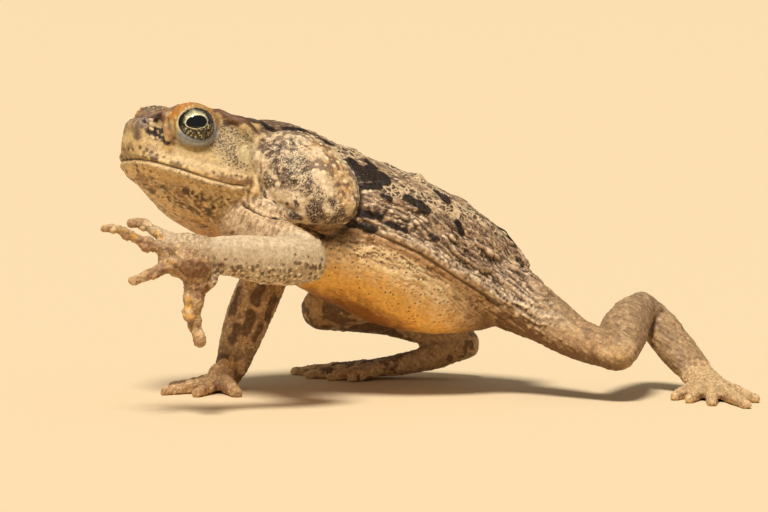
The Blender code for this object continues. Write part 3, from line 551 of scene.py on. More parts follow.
def sculpt(surface, marks, w):
    """Lips, mouth, nostrils, ears, gland edges, ridges, folds and creases."""
    normals = surface.normals()
    points = surface.points
    head = head_points(points)
    a, b, c = head.T
    face = face_of(w)
    mouth = above_line(MOUTH, head)
    part = step(-14.8, -12.0, a) * face
    lips = part * (0.10 + 0.90 * step(15, 10, a))
    lift = -0.45 * hump(mouth, 0.26) * part
    lift += 0.24 * hump(mouth - 1.0, 0.65) * lips
    lift += (0.26 * hump(mouth + 1.0, 0.6) - 0.20 * hump(mouth + 2.5, 0.5)) * lips
    lift -= 1.35 * step(9, 15.5, a) * hump(mouth + 1.2, 3.0) * face
    lift += step(8.5, 12.5, a) * (0.75 * hump(mouth - 5.5, 3.0) + 1.15 * hump(mouth - 10.0, 2.6)) * face
    lift -= 0.7 * step(9, 12, a) * hump(mouth - 14.5, 1.8) * face

    ear = np.hypot(a - TYMPANUM[0], (c - TYMPANUM[1]) * 0.85)
    near = face * step(12.0, 14.0, abs(b))
    lift += near * (0.11 * hump(ear - 2.75, 0.5) - 0.16 * hump(ear - 2.1, 0.5))

    edge = np.zeros(surface.count)
    inside = np.zeros(surface.count)
    for flip in (1, -1):
        turn = np.diag((1, flip, 1))
        out = np.array(GLAND_OUT.normalized()) @ turn
        length = np.array(GLAND_LENGTH) @ turn
        length = length - out * (out @ length)
        length /= np.linalg.norm(length)
        x, y, z = local(points, np.array(GLAND) @ turn, length, np.cross(out, length), out)
        q = np.sqrt((x / GLAND_HALF[0]) ** 2 + (y / GLAND_HALF[1]) ** 2)
        close = step(-9, -6, z)
        edge = np.maximum(edge, close * hump((q - 1.02) * 14, 0.75))
        inside = np.maximum(inside, close * step(1.04, 0.92, q))
    edge = edge * (1 - 0.75 * step(-31, -36, points[:, 0])) * (1 - w["lobe"])
    lift -= 0.75 * edge
    lift += inside * (0.40 + 0.28 * fractal(points, 4.0, 2, 2))

    t, along = fold_place(points)
    trunk = w["torso"]
    fold = trunk * step(-14, -4, along) * step(40, 24, along)
    lift += fold * (0.32 * hump(t - 1.5, 1.1) - 0.95 * hump(t + 0.3, 0.5))

    for height, width, *line in FORMS:
        lift += height * marks.mask(((*line, width),), soft=width)
    for height, width, *line in HAND_FORMS:
        lift += height * marks.mask(((*line, width),), soft=0.55 * width, both=False)
    pits = marks.mask(NOSTRILS, soft=0.3)
    lift += 0.22 * marks.mask(((*NOSTRILS[0][:-1], 1.1),), soft=0.45) - 1.2 * pits
    surface.points = points + normals * lift[:, None]
    surface.smooth(w["lobe"] * 0.8, 50, 0.0)
    return mouth, edge, pits


def wrinkle(surface, w):
    """Broad unevenness, wrinkles and fine granules."""
    normals = surface.normals()
    points = surface.points
    head = head_points(points)
    t, along = fold_place(points)
    face = face_of(w)
    legs = w["thigh"] + w["shank"] + w["tarsus"]
    arms = w["upper_arm"] + w["forearm"]
    trunk = trunk_of(w, along)
    lift = trunk * 0.28 * fractal(points, 7.0, 3) + 0.20 * (legs + 0.6 * arms) * fractal(points, 5.0, 4)
    flow = np.stack([along, t, points[:, 1]], 1) + 1.3 * noise(points, 6.0, 8)[:, None] * (0, 1, 0)
    flank = trunk * step(0.4, 2.4, t) * step(0, -6, t - height_of_folds(along)) * step(-24, -12, along)
    lift += flank * (0.62 * ridged(flow, (9.0, 2.3, 7.0), 5) + 0.36 * ridged(flow, (5.0, 1.1, 5.0), 9))
    belly = trunk * step(0.5, -1.5, t) * step(-20, -10, t)
    belly = belly * (0.35 + 0.65 * step(-15, -5, t))
    lift += belly * (0.13 * ridged(flow, (5.5, 1.4, 5.0), 6) + 0.14 * ridged(flow, (3.0, 0.6, 3.0), 10))
    jaw = w["lower_jaw"] + 0.5 * w["head"] * step(-17, -19, head[:, 2]) * step(-18, -15, head[:, 0])
    low = jaw * step(-14.5, -17.0, head[:, 2])
    slant = turned(head[:, (0, 2, 1)], 0.8, 0.6)
    low = low * step(3.5, 9, abs(head[:, 1]))
    lift += low * (0.06 + 0.18 * step(6, -6, head[:, 0])) * ridged(slant, (3.6, 1.1, 3.4), 7)
    across = limb_place(points)
    lift += w["upper_arm"] * 0.13 * ridged(across, (0.8, 4.5, 4.5), 12)
    lift += 0.09 * w["forearm"] * ridged(points, (1.4, 3.0, 3.0), 13)
    lift += 0.12 * legs * ridged(across[:, (1, 0, 2)], (1.3, 4.0, 3.0), 14)
    lift += 0.16 * (w["hand"] + w["foot"]) * ridged(points, 1.8, 15)
    cheek = w["head"] * step(14, 10, head[:, 0])
    lift += 0.10 * cheek * fractal(head, 2.4, 16) + 0.10 * w["head"] * (1 - cheek) * fractal(head, 1.8, 17)
    gap = cells(points, 1.15, 11)[0]
    fine = 0.04 + 0.06 * trunk * step(0, 3, t) + 0.06 * (w["hand"] + w["foot"]) + 0.02 * legs
    fine = fine * (1 - 0.5 * face)
    lift += fine * (step(0.62, 0.10, gap) - 0.4)
    surface.points = points + normals * lift[:, None]


def wart_layers(surface, w):
    """Layers of warts: chance at each point, radii, room, height, profile, seed, and whether drawn out."""
    head = head_points(surface.points)
    t, along = fold_place(surface.points)
    trunk = trunk_of(w, along)
    back = trunk * step(8.0, 13.0, t)
    flank = trunk * step(0.3, 1.8, t) * step(16, 11, t) * (1 - 0.6 * w["thigh"])
    belly = trunk * step(0, -2, t)
    legs = w["thigh"] + w["shank"] + w["tarsus"]
    cheek = w["head"] * step(-8, -12, head[:, 0]) * step(-9, -12, head[:, 2])
    behind = step(-30, -16, along)
    low_arm = w["forearm"] * step(46, 41, surface.points[:, 2])
    return (
        (0.015 * back * behind, (1.4, 2.5), 1.25, 0.30, 1.4, 101, True),
        (0.16 * flank + 0.06 * back * behind, (0.6, 1.2), 1.1, 0.38, 1.2, 102, True),
        (0.4 * flank + 0.35 * back * step(-44, -30, along), (0.3, 0.65), 1.15, 0.32, 1.2, 103, True),
        (0.10 * w["parotoid"], (0.5, 1.1), 1.35, 0.20, 1.2, 104, False),
        (0.05 * legs, (0.6, 1.1), 1.3, 0.15, 1.3, 105, False),
        (0.25 * legs, (0.3, 0.5), 1.3, 0.18, 1.2, 106, False),
        (0.12 * w["upper_arm"] + 0.20 * low_arm, (0.4, 0.75), 1.2, 0.24, 1.2, 107, False),
        (0.7 * (w["hand"] + w["foot"]), (0.3, 0.65), 1.05, 0.34, 1.2, 108, False),
        (0.45 * w["upper_lid"] + 0.10 * cheek, (0.3, 0.6), 1.1, 0.38, 1.2, 109, False),
        (0.20 * w["lower_jaw"] + 0.12 * belly, (0.3, 0.5), 1.4, 0.14, 1.1, 110, False),
    )


def add_warts(surface, w):
    """Raises the warts, and returns how far up a wart each point is, and the number of the wart."""
    normals = surface.normals()
    t, along = fold_place(surface.points)
    drawn = np.stack([along / 1.8, t, surface.points[:, 1]], 1)
    places, trees = {True: drawn, False: surface.points.copy()}, {}
    for key, points in places.items():
        trees[key] = KDTree(surface.count)
        for i, p in enumerate(points):
            trees[key].insert(p, i)
        trees[key].balance()
    rise, share, number = np.zeros((3, surface.count))
    for density, sizes, room, height, sharp, seed, stretch in wart_layers(surface, w):
        chosen = scatter(places[stretch], density, sizes, seed, room)
        height = height * clamp(1.6 * density / density.max())
        up, part, tone = raise_warts(places[stretch], trees[stretch], chosen, height, sharp, seed)
        rise = rise + up
        number = np.where(part > share, tone, number)
        share = np.maximum(share, part)
    surface.points = surface.points + normals * rise[:, None]
    return share, number


# Ridges and creases of both sides: height and half width in millimetres, then the pixels of a line.
FORMS = (
    (0.45, 0.8, 142, 117, 160, 110, 183, 107),
    (0.45, 0.8, 164.5, 115, 164, 121, 166, 130, 170.5, 137.5, 173, 142),
    (-0.4, 1.0, 152, 117, 157, 124, 160, 134), (-0.35, 0.35, 168, 118.5, 170, 128, 175, 139),
    (0.45, 0.9, 219, 110.5, 228, 116, 237, 121, 250, 128.5, 259, 137),
    (0.3, 0.7, 222, 123, 234, 120, 246, 124), (0.9, 2.2, 243, 121, 252, 122.5, 262, 125),
    (-0.2, 0.6, 226, 131, 240, 136, 252, 142), (0.35, 1.2, 176, 160, 200, 166, 226, 172, 246, 177),
    (-0.25, 0.8, 172, 152, 196, 158, 222, 165), (-0.3, 0.45, 264, 141, 261.5, 160, 260.5, 182, 262, 200),
    (0.45, 0.7, 256.5, 176, 257, 184, 259, 192), (-0.5, 0.45, 252, 187, 249, 194, 248, 202),
    (0.8, 1.0, 255, 192, 258, 198), (0.6, 0.8, 249.5, 205, 250, 206), (0.4, 0.6, 244, 198, 245, 201),
    (1.5, 1.5, 266, 197, 272, 204.5, 280, 210, 291, 214.5, 302, 217),
    (1.2, 1.2, 266, 204, 272, 209, 282, 214, 294, 218),
    (0.7, 1.6, 246, 213, 257, 220, 268, 223, 290, 229, 306, 236),
    (-1.2, 0.6, 243.5, 204, 255.4, 212, 266, 216, 276, 219, 300, 225, 322, 237),
    (-0.6, 0.7, 646, 352, 651, 345, 652, 330, 656, 318, 663, 310),
    (-0.35, 0.5, 676, 379, 694, 365, 704, 365), (-0.25, 0.4, 672, 371, 690, 359, 702, 358),
    (-0.5, 0.7, 243, 209, 236, 222, 232, 235), (0.9, 1.3, 418, 178, 419, 179),
    (0.8, 1.2, 446, 199, 448, 201), (0.8, 1.2, 474, 216, 476, 218), (0.9, 1.8, 504, 236, 508, 241),
    (0.7, 1.0, 372, 206, 380, 209), (0.6, 0.9, 392, 212, 400, 216), (0.6, 0.9, 345, 203, 352, 204),
)
# Pads and swellings of the raised hand.
HAND_FORMS = (
    (0.85, 3.2, 191, 266, 198, 269), (0.8, 1.5, 205.5, 286, 207, 287), (1.1, 1.3, 187.5, 312, 189, 317),
    (0.8, 1.5, 199, 336, 200, 340), (-0.35, 0.9, 190, 327, 204, 325), (0.8, 1.1, 145.5, 248, 147, 249),
    (0.65, 0.9, 125, 237, 126, 238), (0.55, 0.8, 113, 230.5, 114, 231), (0.7, 1.0, 130.5, 223.5, 131, 224.5),
    (0.6, 0.9, 141, 229, 142, 230), (0.6, 0.9, 150, 237, 151, 238), (0.6, 1.0, 131, 281, 132, 281.5),
    (0.6, 1.0, 155, 276, 156, 277), (-0.4, 0.6, 158, 241, 172, 254, 182, 262),
    (-0.35, 0.6, 168, 262, 180, 270),
)
NOSTRILS = ((144.6, 120.6, 145.6, 122.4, 0.5),)


# Colours.

CREAM = (0.66, 0.47, 0.25)
PALE = (0.81, 0.62, 0.39)
TAN = (0.42, 0.27, 0.14)
TAUPE = (0.25, 0.155, 0.095)
BROWN = (0.12, 0.066, 0.033)
UMBER = (0.038, 0.020, 0.011)
GOLD = (0.92, 0.47, 0.10)
# Painted shade for the lowest part of the belly.
LOW_BELLY_SHADE = (0.23, 0.072, 0.004)
RUST = (0.34, 0.15, 0.045)
MAROON = (0.13, 0.055, 0.032)
SLATE = (0.15, 0.105, 0.075)

# Marks of colour: the pixels of a line, then its radius in millimetres.
BLOTCHES = (
    (240, 119, 247, 121, 258, 123, 269, 129, 2.0), (284, 128, 300, 130, 318, 136, 1.0),
    (322, 140, 331, 144, 1.5), (332, 155, 334, 158, 0.9), (350, 166, 358, 172, 380, 177, 3.6),
    (372, 170, 384, 180, 2.5), (356, 183, 378, 186, 1.6), (366, 162, 376, 168, 1.2),
    (407, 199, 414, 203, 426, 210, 1.7), (438, 193, 445, 201, 1.8), (457, 224, 462, 230, 1.2),
    (501, 231, 509, 241, 1.9), (360, 213, 380, 217, 1.3), (383, 196, 388, 199, 1.1),
    (388, 224, 404, 231, 1.1), (350, 224, 372, 230, 1.3), (474, 214, 478, 219, 0.9),
    (516, 262, 521, 268, 1.1), (430, 236, 438, 240, 0.8),
)
BLOTCH_RIM = ((344, 187, 352, 191, 366, 192, 382, 189, 0.5), (388, 168, 396, 176, 0.5))
NET = (
    (328, 147, 346, 152, 376, 157, 392, 166, 3.0), (392, 166, 412, 176, 436, 190, 452, 206, 5.5),
    (390, 190, 410, 194, 430, 204, 3.6), (340, 152, 346, 160, 1.6), (466, 212, 490, 228, 2.8),
)
GLAND_DARK = (
    (272, 150, 284, 166, 296, 190, 3.4), (290, 145, 302, 166, 314, 188, 330, 208, 2.4),
    (268, 178, 276, 192, 1.8), (313, 212, 326, 215, 344, 218, 3.0), (318, 200, 334, 208, 2.2),
    (352, 196, 354, 210, 1.0), (290, 132, 304, 140, 1.0),
)
GLAND_SPOTS = (
    (265, 194, 267, 199, 1.1), (276, 203, 279, 209, 1.1), (287.5, 203, 0.45), (296, 200.5, 297, 204, 0.75),
    (294, 212.5, 301.5, 215, 0.9), (311, 208, 316, 220, 1.6), (335, 219, 338, 222, 1.0),
)
GLAND_PALE = (
    (276, 197, 288, 198, 302, 208, 2.8), (268, 204, 286, 216, 306, 221, 2.2), (316, 150, 322, 158, 1.3),
    (318, 176, 326, 190, 1.5), (328, 186, 330, 194, 0.9), (348, 206, 352, 212, 1.1),
    (326, 206, 330, 212, 0.9), (300, 138, 304, 141, 0.8),
)
GLAND_OCHRE = ((318, 146, 334, 166, 346, 190, 350, 202, 3.2),)
LOREAL = (
    (151, 117, 157, 115, 163, 115, 0.6), (153, 120, 163, 119.5, 0.8), (150.5, 132, 164, 129.5, 1.2),
    (154, 136, 164, 137, 1.0), (162, 140, 168, 143, 0.7), (168, 118, 168.5, 120.5, 0.4),
)
LOREAL_PALE = (
    (150.5, 119, 152, 120, 0.35), (151.5, 123, 155.5, 124.5, 0.5), (159.5, 121, 161.5, 124, 0.35),
    (157, 126, 161, 127, 0.3), (151, 129, 152.5, 130, 0.25), (157.8, 130.5, 158.2, 132.5, 0.22),
    (162.8, 134.5, 0.25), (157, 137, 157.5, 138.5, 0.25), (151.5, 137, 153.5, 138.5, 0.35),
)
SNOUT_TOP = ((127, 124, 133, 119, 144, 111, 158, 106, 174, 107, 2.0), (124, 130, 123.5, 141, 0.8))
SNOUT_TAN = ((133, 124, 139, 120, 0.8), (146, 117, 158, 112.5, 172, 110, 0.5))
SNOUT_BROWN = ((133, 128, 139, 132, 1.0), (124, 146, 126, 153, 1.0), (127, 155, 138, 155.5, 0.8))
BROW = ((170, 117, 176, 111, 186, 104, 198, 102, 210, 105, 219, 111, 1.1),)
RIDGE = (
    (164.5, 115, 164, 121, 166, 130, 170.5, 137.5, 173, 142, 0.8),
    (139, 117, 149, 114, 162, 111, 173, 109, 180, 107.5, 0.45),
)
OLIVE = ((171, 119, 172, 128, 176, 138, 182, 145, 1.0),)
BACK_OF_HAND = ((150, 231, 168, 236, 190, 240, 214, 246, 2.6),)
CREST = ((219, 109, 229, 115, 238, 121, 1.5), (226, 123, 234, 121.5, 241, 122, 254, 129, 262, 136, 1.1))
POST_EYE = ((218, 138, 230, 148, 240, 160, 3.6), (226, 128, 246, 140, 2.4))
CORNER = ((222, 178, 236, 181.5, 250, 183, 0.85), (205, 174, 220, 177, 0.35), (251, 181, 0.9))
LIP_PALE = (
    (176, 158, 200, 163, 226, 170, 250, 176, 1.4), (252, 172, 258, 188, 0.8), (263, 207, 272, 214, 0.9),
)
LIP_SPOTS = (
    (140.5, 148, 0.55), (147, 150, 0.6), (151.5, 152.5, 0.55), (157, 155, 0.5), (133, 150, 0.5),
    (144, 152, 0.5), (164, 157, 0.4), (178, 163, 0.4), (214, 173, 0.4), (222, 174, 0.4), (129, 149, 0.5),
    (143, 156.5, 156, 159, 0.4), (135, 168, 0.6), (143, 170, 0.6), (150, 172, 0.5), (137, 172, 0.7),
    (127, 158, 0.7), (236, 176, 0.35), (241, 177, 0.4), (247, 178, 0.4), (231, 176, 0.35),
)
THROAT_SPOTS = (
    (163, 185, 168, 195, 1.0), (150, 175, 153, 182, 0.8), (178, 180, 0.7), (185, 184, 189, 193, 0.9),
    (175, 200, 182, 209, 0.9), (196, 196, 206, 200, 0.9), (190, 206, 198, 213, 0.9),
    (204, 212, 212, 216, 0.8), (160, 200, 164, 206, 0.6), (214, 206, 222, 209, 0.9), (170, 176, 0.5),
    (205, 187, 210, 190, 0.6), (216, 196, 226, 198, 0.7), (183, 217, 190, 221, 0.7),
    (228, 190, 240, 194, 0.8), (196, 222, 204, 226, 0.8), (210, 222, 0.7), (146, 186, 150, 192, 0.6),
)
PALM = ((188, 268, 200, 271, 2.2), (206, 287, 1.0), (214, 266, 222, 265, 0.7))
FINGER_OCHRE = (
    (188, 300, 189, 306, 0.9), (190, 312, 191, 316, 0.9), (158, 233, 162, 237, 0.8),
    (131, 234, 135, 236, 0.6), (146, 226, 154, 231, 0.4), (168, 262, 173, 261, 0.5),
)
# Painted shade: near-black lines in the creases under the gland and at the armpit.
ARMPIT_CREASE_SHADE = (
    (243.5, 204, 255.4, 211.5, 266, 215.5, 276, 218, 0.25), (272, 217, 288, 221, 302, 224.5, 322, 237, 0.45),
)
LOBE = (
    (266, 197, 272, 204.5, 280, 210, 291, 214.5, 304, 218, 318, 220.5, 1.6),
    (265, 203, 272, 209, 282, 214.5, 296, 219, 308, 222, 1.1),
)
# Painted shade along the knee's crease.
KNEE = ((646, 353, 651, 345, 652, 330, 656, 318, 663, 310, 0.3),)
LID_FRONT = ((167, 118, 168.5, 127, 171, 134, 0.7),)
# Painted light on the knee.
KNEE_PAINTED_LIGHT = ((604, 352, 620, 356, 632, 346, 1.6),)
# Painted shade along the thigh's lower edge.
THIGH_UNDER_SHADE = ((508, 322, 530, 335, 552, 346, 0.9),)
# Painted shadow on the belly under the gland's lower edge.
SHADE_UNDER_GLAND = ((312, 232, 330, 238, 352, 240, 2.4), (306, 225, 322, 229, 344, 231, 1.4))
FAR_ARM = (
    (238, 290, 232, 312, 1.2), (262, 288, 256, 300, 1.5), (274, 300, 268, 318, 1.4),
    (250, 316, 246, 330, 1.5), (262, 326, 254, 340, 1.3), (238, 326, 232, 340, 1.2),
)


def colour_skin(surface, marks, w, mouth, edge, pits, share, number):
    """A colour for each point, with how thick its dark specks, pale specks and net of cream lines are."""
    normals = surface.normals()
    points, head, mark = marks.points, marks.head, marks.mask
    a, b = head[:, 0], head[:, 1]
    facing = normals @ np.array(HEAD.to_3x3())
    t, along = fold_place(points)
    trunk = trunk_of(w, along)
    warp = 0.9 * fractal(points, 3.2, 21)
    small = 0.45 * fractal(points, 1.3, 22)
    blots = fractal(points, 2.6, 23)
    fleck = noise(points, 0.8, 24)
    broad = fractal(points, 9.0, 25)
    flow = np.stack([along, t, points[:, 1]], 1)
    dark, light, net = np.zeros((3, surface.count))

    total = sum(w[n] for n in FAMILIES)
    tint = sum(w[n][:, None] * np.array(ground) for n, (_, ground) in FAMILIES.items()) / total[:, None]

    def coat(colour, amount):
        nonlocal tint
        tint = mix(tint, colour, amount)

    # The trunk: brown warty flanks, cream net on the back, a pale band over the fold, ochre belly.
    upper = trunk * step(1.0, 3.0, t)
    coat((0.33, 0.21, 0.13), 0.75 * upper)
    coat(TAN, upper * step(0.15, 0.45, -blots + 0.3 * fleck) * 0.8)
    coat(BROWN, upper * step(0.0, 0.3, blots + 0.4 * fleck) * 0.85)
    streak = noise(flow, (4.0, 0.9, 3.0), 34)
    coat(UMBER, upper * step(0.25, 0.5, streak) * step(14, 9, t) * 0.7)
    dark = np.maximum(dark, 0.45 * upper)
    light = np.maximum(light, 0.30 * upper)
    net = mark(NET, soft=1.2, warp=0.8 * warp) * step(8, 11, t) * trunk
    coat((0.60, 0.43, 0.25), 0.85 * net)
    high = 2.0 + 1.6 * step(10, 34, along)
    pale = trunk * hump(t - high - 0.7 * blots, high)
    pale = pale * (0.33 * step(-12, -4, along) + 0.54 * step(0, 12, along))
    coat((0.88, 0.68, 0.45), pale * (0.35 + 0.65 * step(-0.3, 0.3, streak + 0.7 * fleck)))
    gap, cell = cells(points, 1.25, 37)
    coat((0.085, 0.036, 0.02), pale * step(0.44, 0.32, gap + 0.1 * fleck) * (cell > 0.35) * 0.9)
    # Painted shade: a dark line in the groove under the flank's fold.
    fold_groove_shade = trunk * hump(t + 0.35, 0.65) * step(-14, -5, along) * step(42, 26, along)
    coat((0.09, 0.035, 0.008), 0.85 * fold_groove_shade)
    belly = trunk * step(0.2, -0.6, t)
    depth = -t
    coat((0.84, 0.57, 0.31), belly)
    coat(GOLD, belly * step(6, 17, depth + 3.0 * blots))
    coat(CREAM, belly * step(0.1, 0.6, broad + 0.6 * blots) * step(15, 7, depth) * 0.6)
    fine = noise(flow + 0.8 * small[:, None], (1.9, 0.34, 1.8), 33) + 0.6 * noise(flow, (4.5, 1.2, 4.0), 36)
    coat((0.16, 0.07, 0.02), belly * step(0.20, 0.50, fine) * step(11, 2, depth + 2.5 * broad) * 0.8)
    # Painted shade in a band just under the fold, where the flank overhangs the belly.
    coat((0.22, 0.09, 0.022), belly * hump(depth - 1.0, 1.6 + 0.8 * blots) * 0.7)
    # Painted shade: the belly darkens towards its underside.
    coat(LOW_BELLY_SHADE, belly * step(16.5, 23, depth + 1.5 * blots) * 0.95)
    # Painted shade on the belly towards the groin.
    coat((0.16, 0.062, 0.010), belly * step(11, 28, along + 3 * blots) * step(1, 5, depth) * 0.85)
    gap, cell = cells(points, 1.3, 35)
    coat(UMBER, belly * step(0.27, 0.18, gap) * (cell > 0.15 + 0.45 * step(4, 18, depth)) * 0.85)
    # Painted shadow under the gland.
    coat((0.10, 0.045, 0.012), belly * mark(SHADE_UNDER_GLAND, soft=2.0, warp=warp) * 0.75)
    light = light * (1 - belly)
    dark = np.maximum(dark * (1 - belly), 0.15 * belly)

    # The gland.
    gland = w["parotoid"]
    murk = gland * mark(GLAND_DARK, soft=1.4, warp=warp + small)
    cream = gland * mark(GLAND_PALE, soft=0.8, warp=0.6 * warp + small)
    coat((0.50, 0.25, 0.07), gland * mark(GLAND_OCHRE, soft=1.4, warp=warp) * 0.75)
    grit = noise(points, 1.1, 26)
    coat((0.07, 0.045, 0.030), murk * (0.20 + 0.74 * step(-0.25, 0.05, fleck + 0.6 * grit)))
    coat((0.20, 0.125, 0.08), gland * step(0.0, 0.3, blots + 0.5 * grit) * 0.8)
    coat(PALE, gland * step(0.15, 0.4, -blots - 0.5 * grit) * 0.5)
    coat(PALE, cream * 0.85)
    coat(PALE, gland * step(0.06, 0.40, share + 0.1 * fleck) * (number > 0.45) * (0.75 - 0.3 * murk))
    spots = gland * mark(GLAND_SPOTS, soft=0.22, warp=0.3 * warp + 0.7 * small)
    coat((0.05, 0.030, 0.020), spots * 0.9)
    dark = np.maximum(dark * (1 - gland), gland * clamp(0.42 + 0.5 * murk - 0.45 * cream))
    light = np.maximum(light * (1 - gland), gland * (0.25 + 0.3 * spots + 0.25 * murk))

    # Dark blotches of the back, and the nape.
    blotch = mark(BLOTCHES, soft=0.3, warp=0.4 * warp + 0.8 * small)
    behind_eyes = w["head"] * step(-7, -11, a) * step(0.3, 0.6, facing[:, 2])
    blotch = blotch * clamp(trunk + 0.9 * behind_eyes) * (1 - gland)
    coat(PALE, trunk * mark(BLOTCH_RIM, soft=0.4, warp=small) * 0.7)
    nape = trunk * step(-22, -34, along) * step(14, 20, t)
    coat(BROWN, nape * 0.85)
    coat(CREAM, nape * step(0.3, 0.6, blots) * 0.5)
    coat((0.006, 0.003, 0.0015), blotch * 0.98)
    net = net * (1 - blotch)
    light = light * (1 - 0.9 * blotch)

    # The head.
    face = w["head"]
    lid = w["upper_lid"]
    crown = face * step(0.35, 0.75, facing[:, 2]) * step(9.0, 5.0, abs(b) - 0.35 * np.maximum(-a, 0))
    snout = (face + lid) * mark(SNOUT_TOP, soft=1.0, warp=small)
    coat(CREAM, face * step(0.2, 0.7, broad) * 0.35)
    coat((0.78, 0.55, 0.29), face * hump(mouth - 2.4, 2.0) * 0.5 * step(13, 9, a))
    coat(SLATE, np.maximum(crown * 0.9, snout * 0.9))
    coat(MAROON, np.maximum(crown, snout) * step(0.0, 0.4, blots) * 0.7)
    coat(TAN, crown * step(0.2, 0.6, 0.3 * fleck - blots) * 0.45)
    coat(BROWN, face * hump(mouth - 0.9, 0.8) * step(0.05, 0.3, blots) * step(-2, 4, a) * 0.8)
    coat(BROWN, face * step(8.0, 12.0, a) * step(0.3, 0.5, blots + small) * 0.35)
    coat(BROWN, face * mark(SNOUT_BROWN, soft=0.6, warp=small) * 0.5)
    coat(TAN, face * mark(SNOUT_TAN, soft=0.5, warp=small) * 0.8)
    post = face * mark(POST_EYE, soft=2.4, warp=warp)
    coat((0.37, 0.285, 0.16), post * 0.6)
    dark = np.maximum(dark, clamp(0.30 * face + 0.65 * post))
    dark = np.maximum(dark, 0.35 * w["tympanum"])
    pale = face * mark(LIP_PALE, soft=0.8, warp=small)
    pale = clamp(pale + (trunk + w["lower_jaw"]) * mark(LIP_PALE, soft=0.5))
    coat((0.74, 0.52, 0.28), pale * 0.5)
    coat((0.22, 0.10, 0.035), face * mark(CORNER, soft=0.5, warp=small) * 0.85)
    loreal = face * mark(LOREAL, soft=0.45, warp=small)
    coat(BROWN, face * mark(LOREAL, soft=1.4, warp=2 * small) * 0.6)
    coat((0.025, 0.014, 0.009), loreal * 0.96)
    coat(CREAM, face * mark(LOREAL_PALE, soft=0.2, warp=0.3 * small) * 0.95)
    brow = clamp(face + lid)
    coat((0.46, 0.36, 0.17), brow * mark(OLIVE, soft=0.8, warp=0.6 * small) * 0.8)
    coat((0.30, 0.15, 0.075), brow * mark(RIDGE, soft=0.35, warp=0.6 * small) * 0.8)
    coat((0.30, 0.13, 0.045), brow * mark(LID_FRONT, soft=0.6, warp=0.6 * small) * 0.75)
    orange = brow * mark(BROW, soft=0.7, warp=0.7 * small)
    coat((0.50, 0.18, 0.015), orange * 0.95)
    coat(RUST, orange * step(0.0, 0.4, fleck + blots) * 0.75)
    coat(PALE, lid * step(0.2, 0.6, share) * (number > 0.55) * 0.7)
    crest = mark(CREST, soft=0.5, warp=0.7 * small)
    coat((0.11, 0.046, 0.026), clamp(brow + trunk * 0.5) * crest * 0.93)
    coat(BROWN, mark(LIP_SPOTS, soft=0.35, warp=0.6 * small) * 0.85)
    # Painted shade in the nostril pits.
    coat(UMBER, pits * 0.9)
    around = face * mark(((*NOSTRILS[0][:-1], 1.2),), soft=0.4) * (1 - pits)
    coat((0.26, 0.22, 0.19), around * 0.6)

    jaw = w["lower_jaw"]
    coat((0.50, 0.37, 0.21), jaw * hump(mouth + 1.1, 0.9) * 0.75)
    coat(SLATE, jaw * hump(mouth + 1.4, 1.1) * step(0.25, 0.5, blots) * 0.6)
    chin = jaw * step(-2.5, -4.5, mouth)
    coat((0.46, 0.18, 0.012), chin * step(-7, -15, mouth + 2 * blots) * 0.95)
    coat(CREAM, chin * step(0.2, 0.5, -blots) * step(-12, -8, mouth) * 0.4)
    spots = mark(THROAT_SPOTS, soft=1.0, warp=1.1 * warp + 1.6 * small)
    speckle = step(-0.2, 0.5, fleck + 0.8 * grit)
    mottle = np.clip(spots * 0.85 + 0.6 * step(0.0, 0.4, blots + 0.5 * fleck), 0, 0.95)
    mottle = mottle * (0.45 + 0.55 * speckle)
    coat((0.24, 0.11, 0.035), chin * step(0.0, 0.6, broad + 0.8 * blots + 0.3 * fleck) * 0.6)
    coat(BROWN, chin * mottle)
    coat(PALE, chin * step(0.2, 0.6, -fleck - 0.4 * grit) * 0.5 * step(-16, -8, mouth))
    dark = np.maximum(dark, 0.45 * jaw)
    # Painted shade in the mouth's slit, fainter towards its back end.
    line = step(-15.0, -13.0, a) * clamp(face + jaw) * hump(mouth, 0.22)
    coat(UMBER, line * (0.55 + 0.35 * step(-6, 6, a)))

    ring_of_eyes = np.zeros(surface.count)
    for flip in (1, -1):
        centre, ahead, up, gaze = eye_axes(flip)
        x, y, z = local(points, centre, ahead, up, gaze)
        q = opening_share(x, y)
        front = step(0.0, 1.0, z) * (face + lid > 0.4)
        level = y + 0.40 * x
        wide = 1.06 + 0.30 * step(0.8, -3.8, level)
        ring = front * step(wide + 0.03, wide - 0.03, q)
        coat((0.56, 0.51, 0.31), ring * 0.9)
        coat((0.31, 0.33, 0.37), ring * step(0.5, -2.5, level) * 0.85)
        coat((0.62, 0.59, 0.46), ring * hump(q - 1.045, 0.022) * 0.7)
        coat((0.24, 0.22, 0.19), ring * hump(q - 1.10, 0.02) * step(1, -2, level) * 0.5)
        coat((0.60, 0.58, 0.50), ring * hump(q - 1.23, 0.04) * step(0, -3, level) * 0.6)
        coat((0.40, 0.19, 0.04), front * hump(q - wide - 0.07, 0.045) * step(2.0, -1.0, y) * 0.6)
        # Painted shadow: a near-black line where the lid meets the eyeball.
        coat((0.02, 0.015, 0.01), front * step(1.015, 0.975, q))
        dark = dark * (1 - ring)
        light = light * (1 - ring)
        ring_of_eyes = np.maximum(ring_of_eyes, front * step(1.6, 1.4, q))

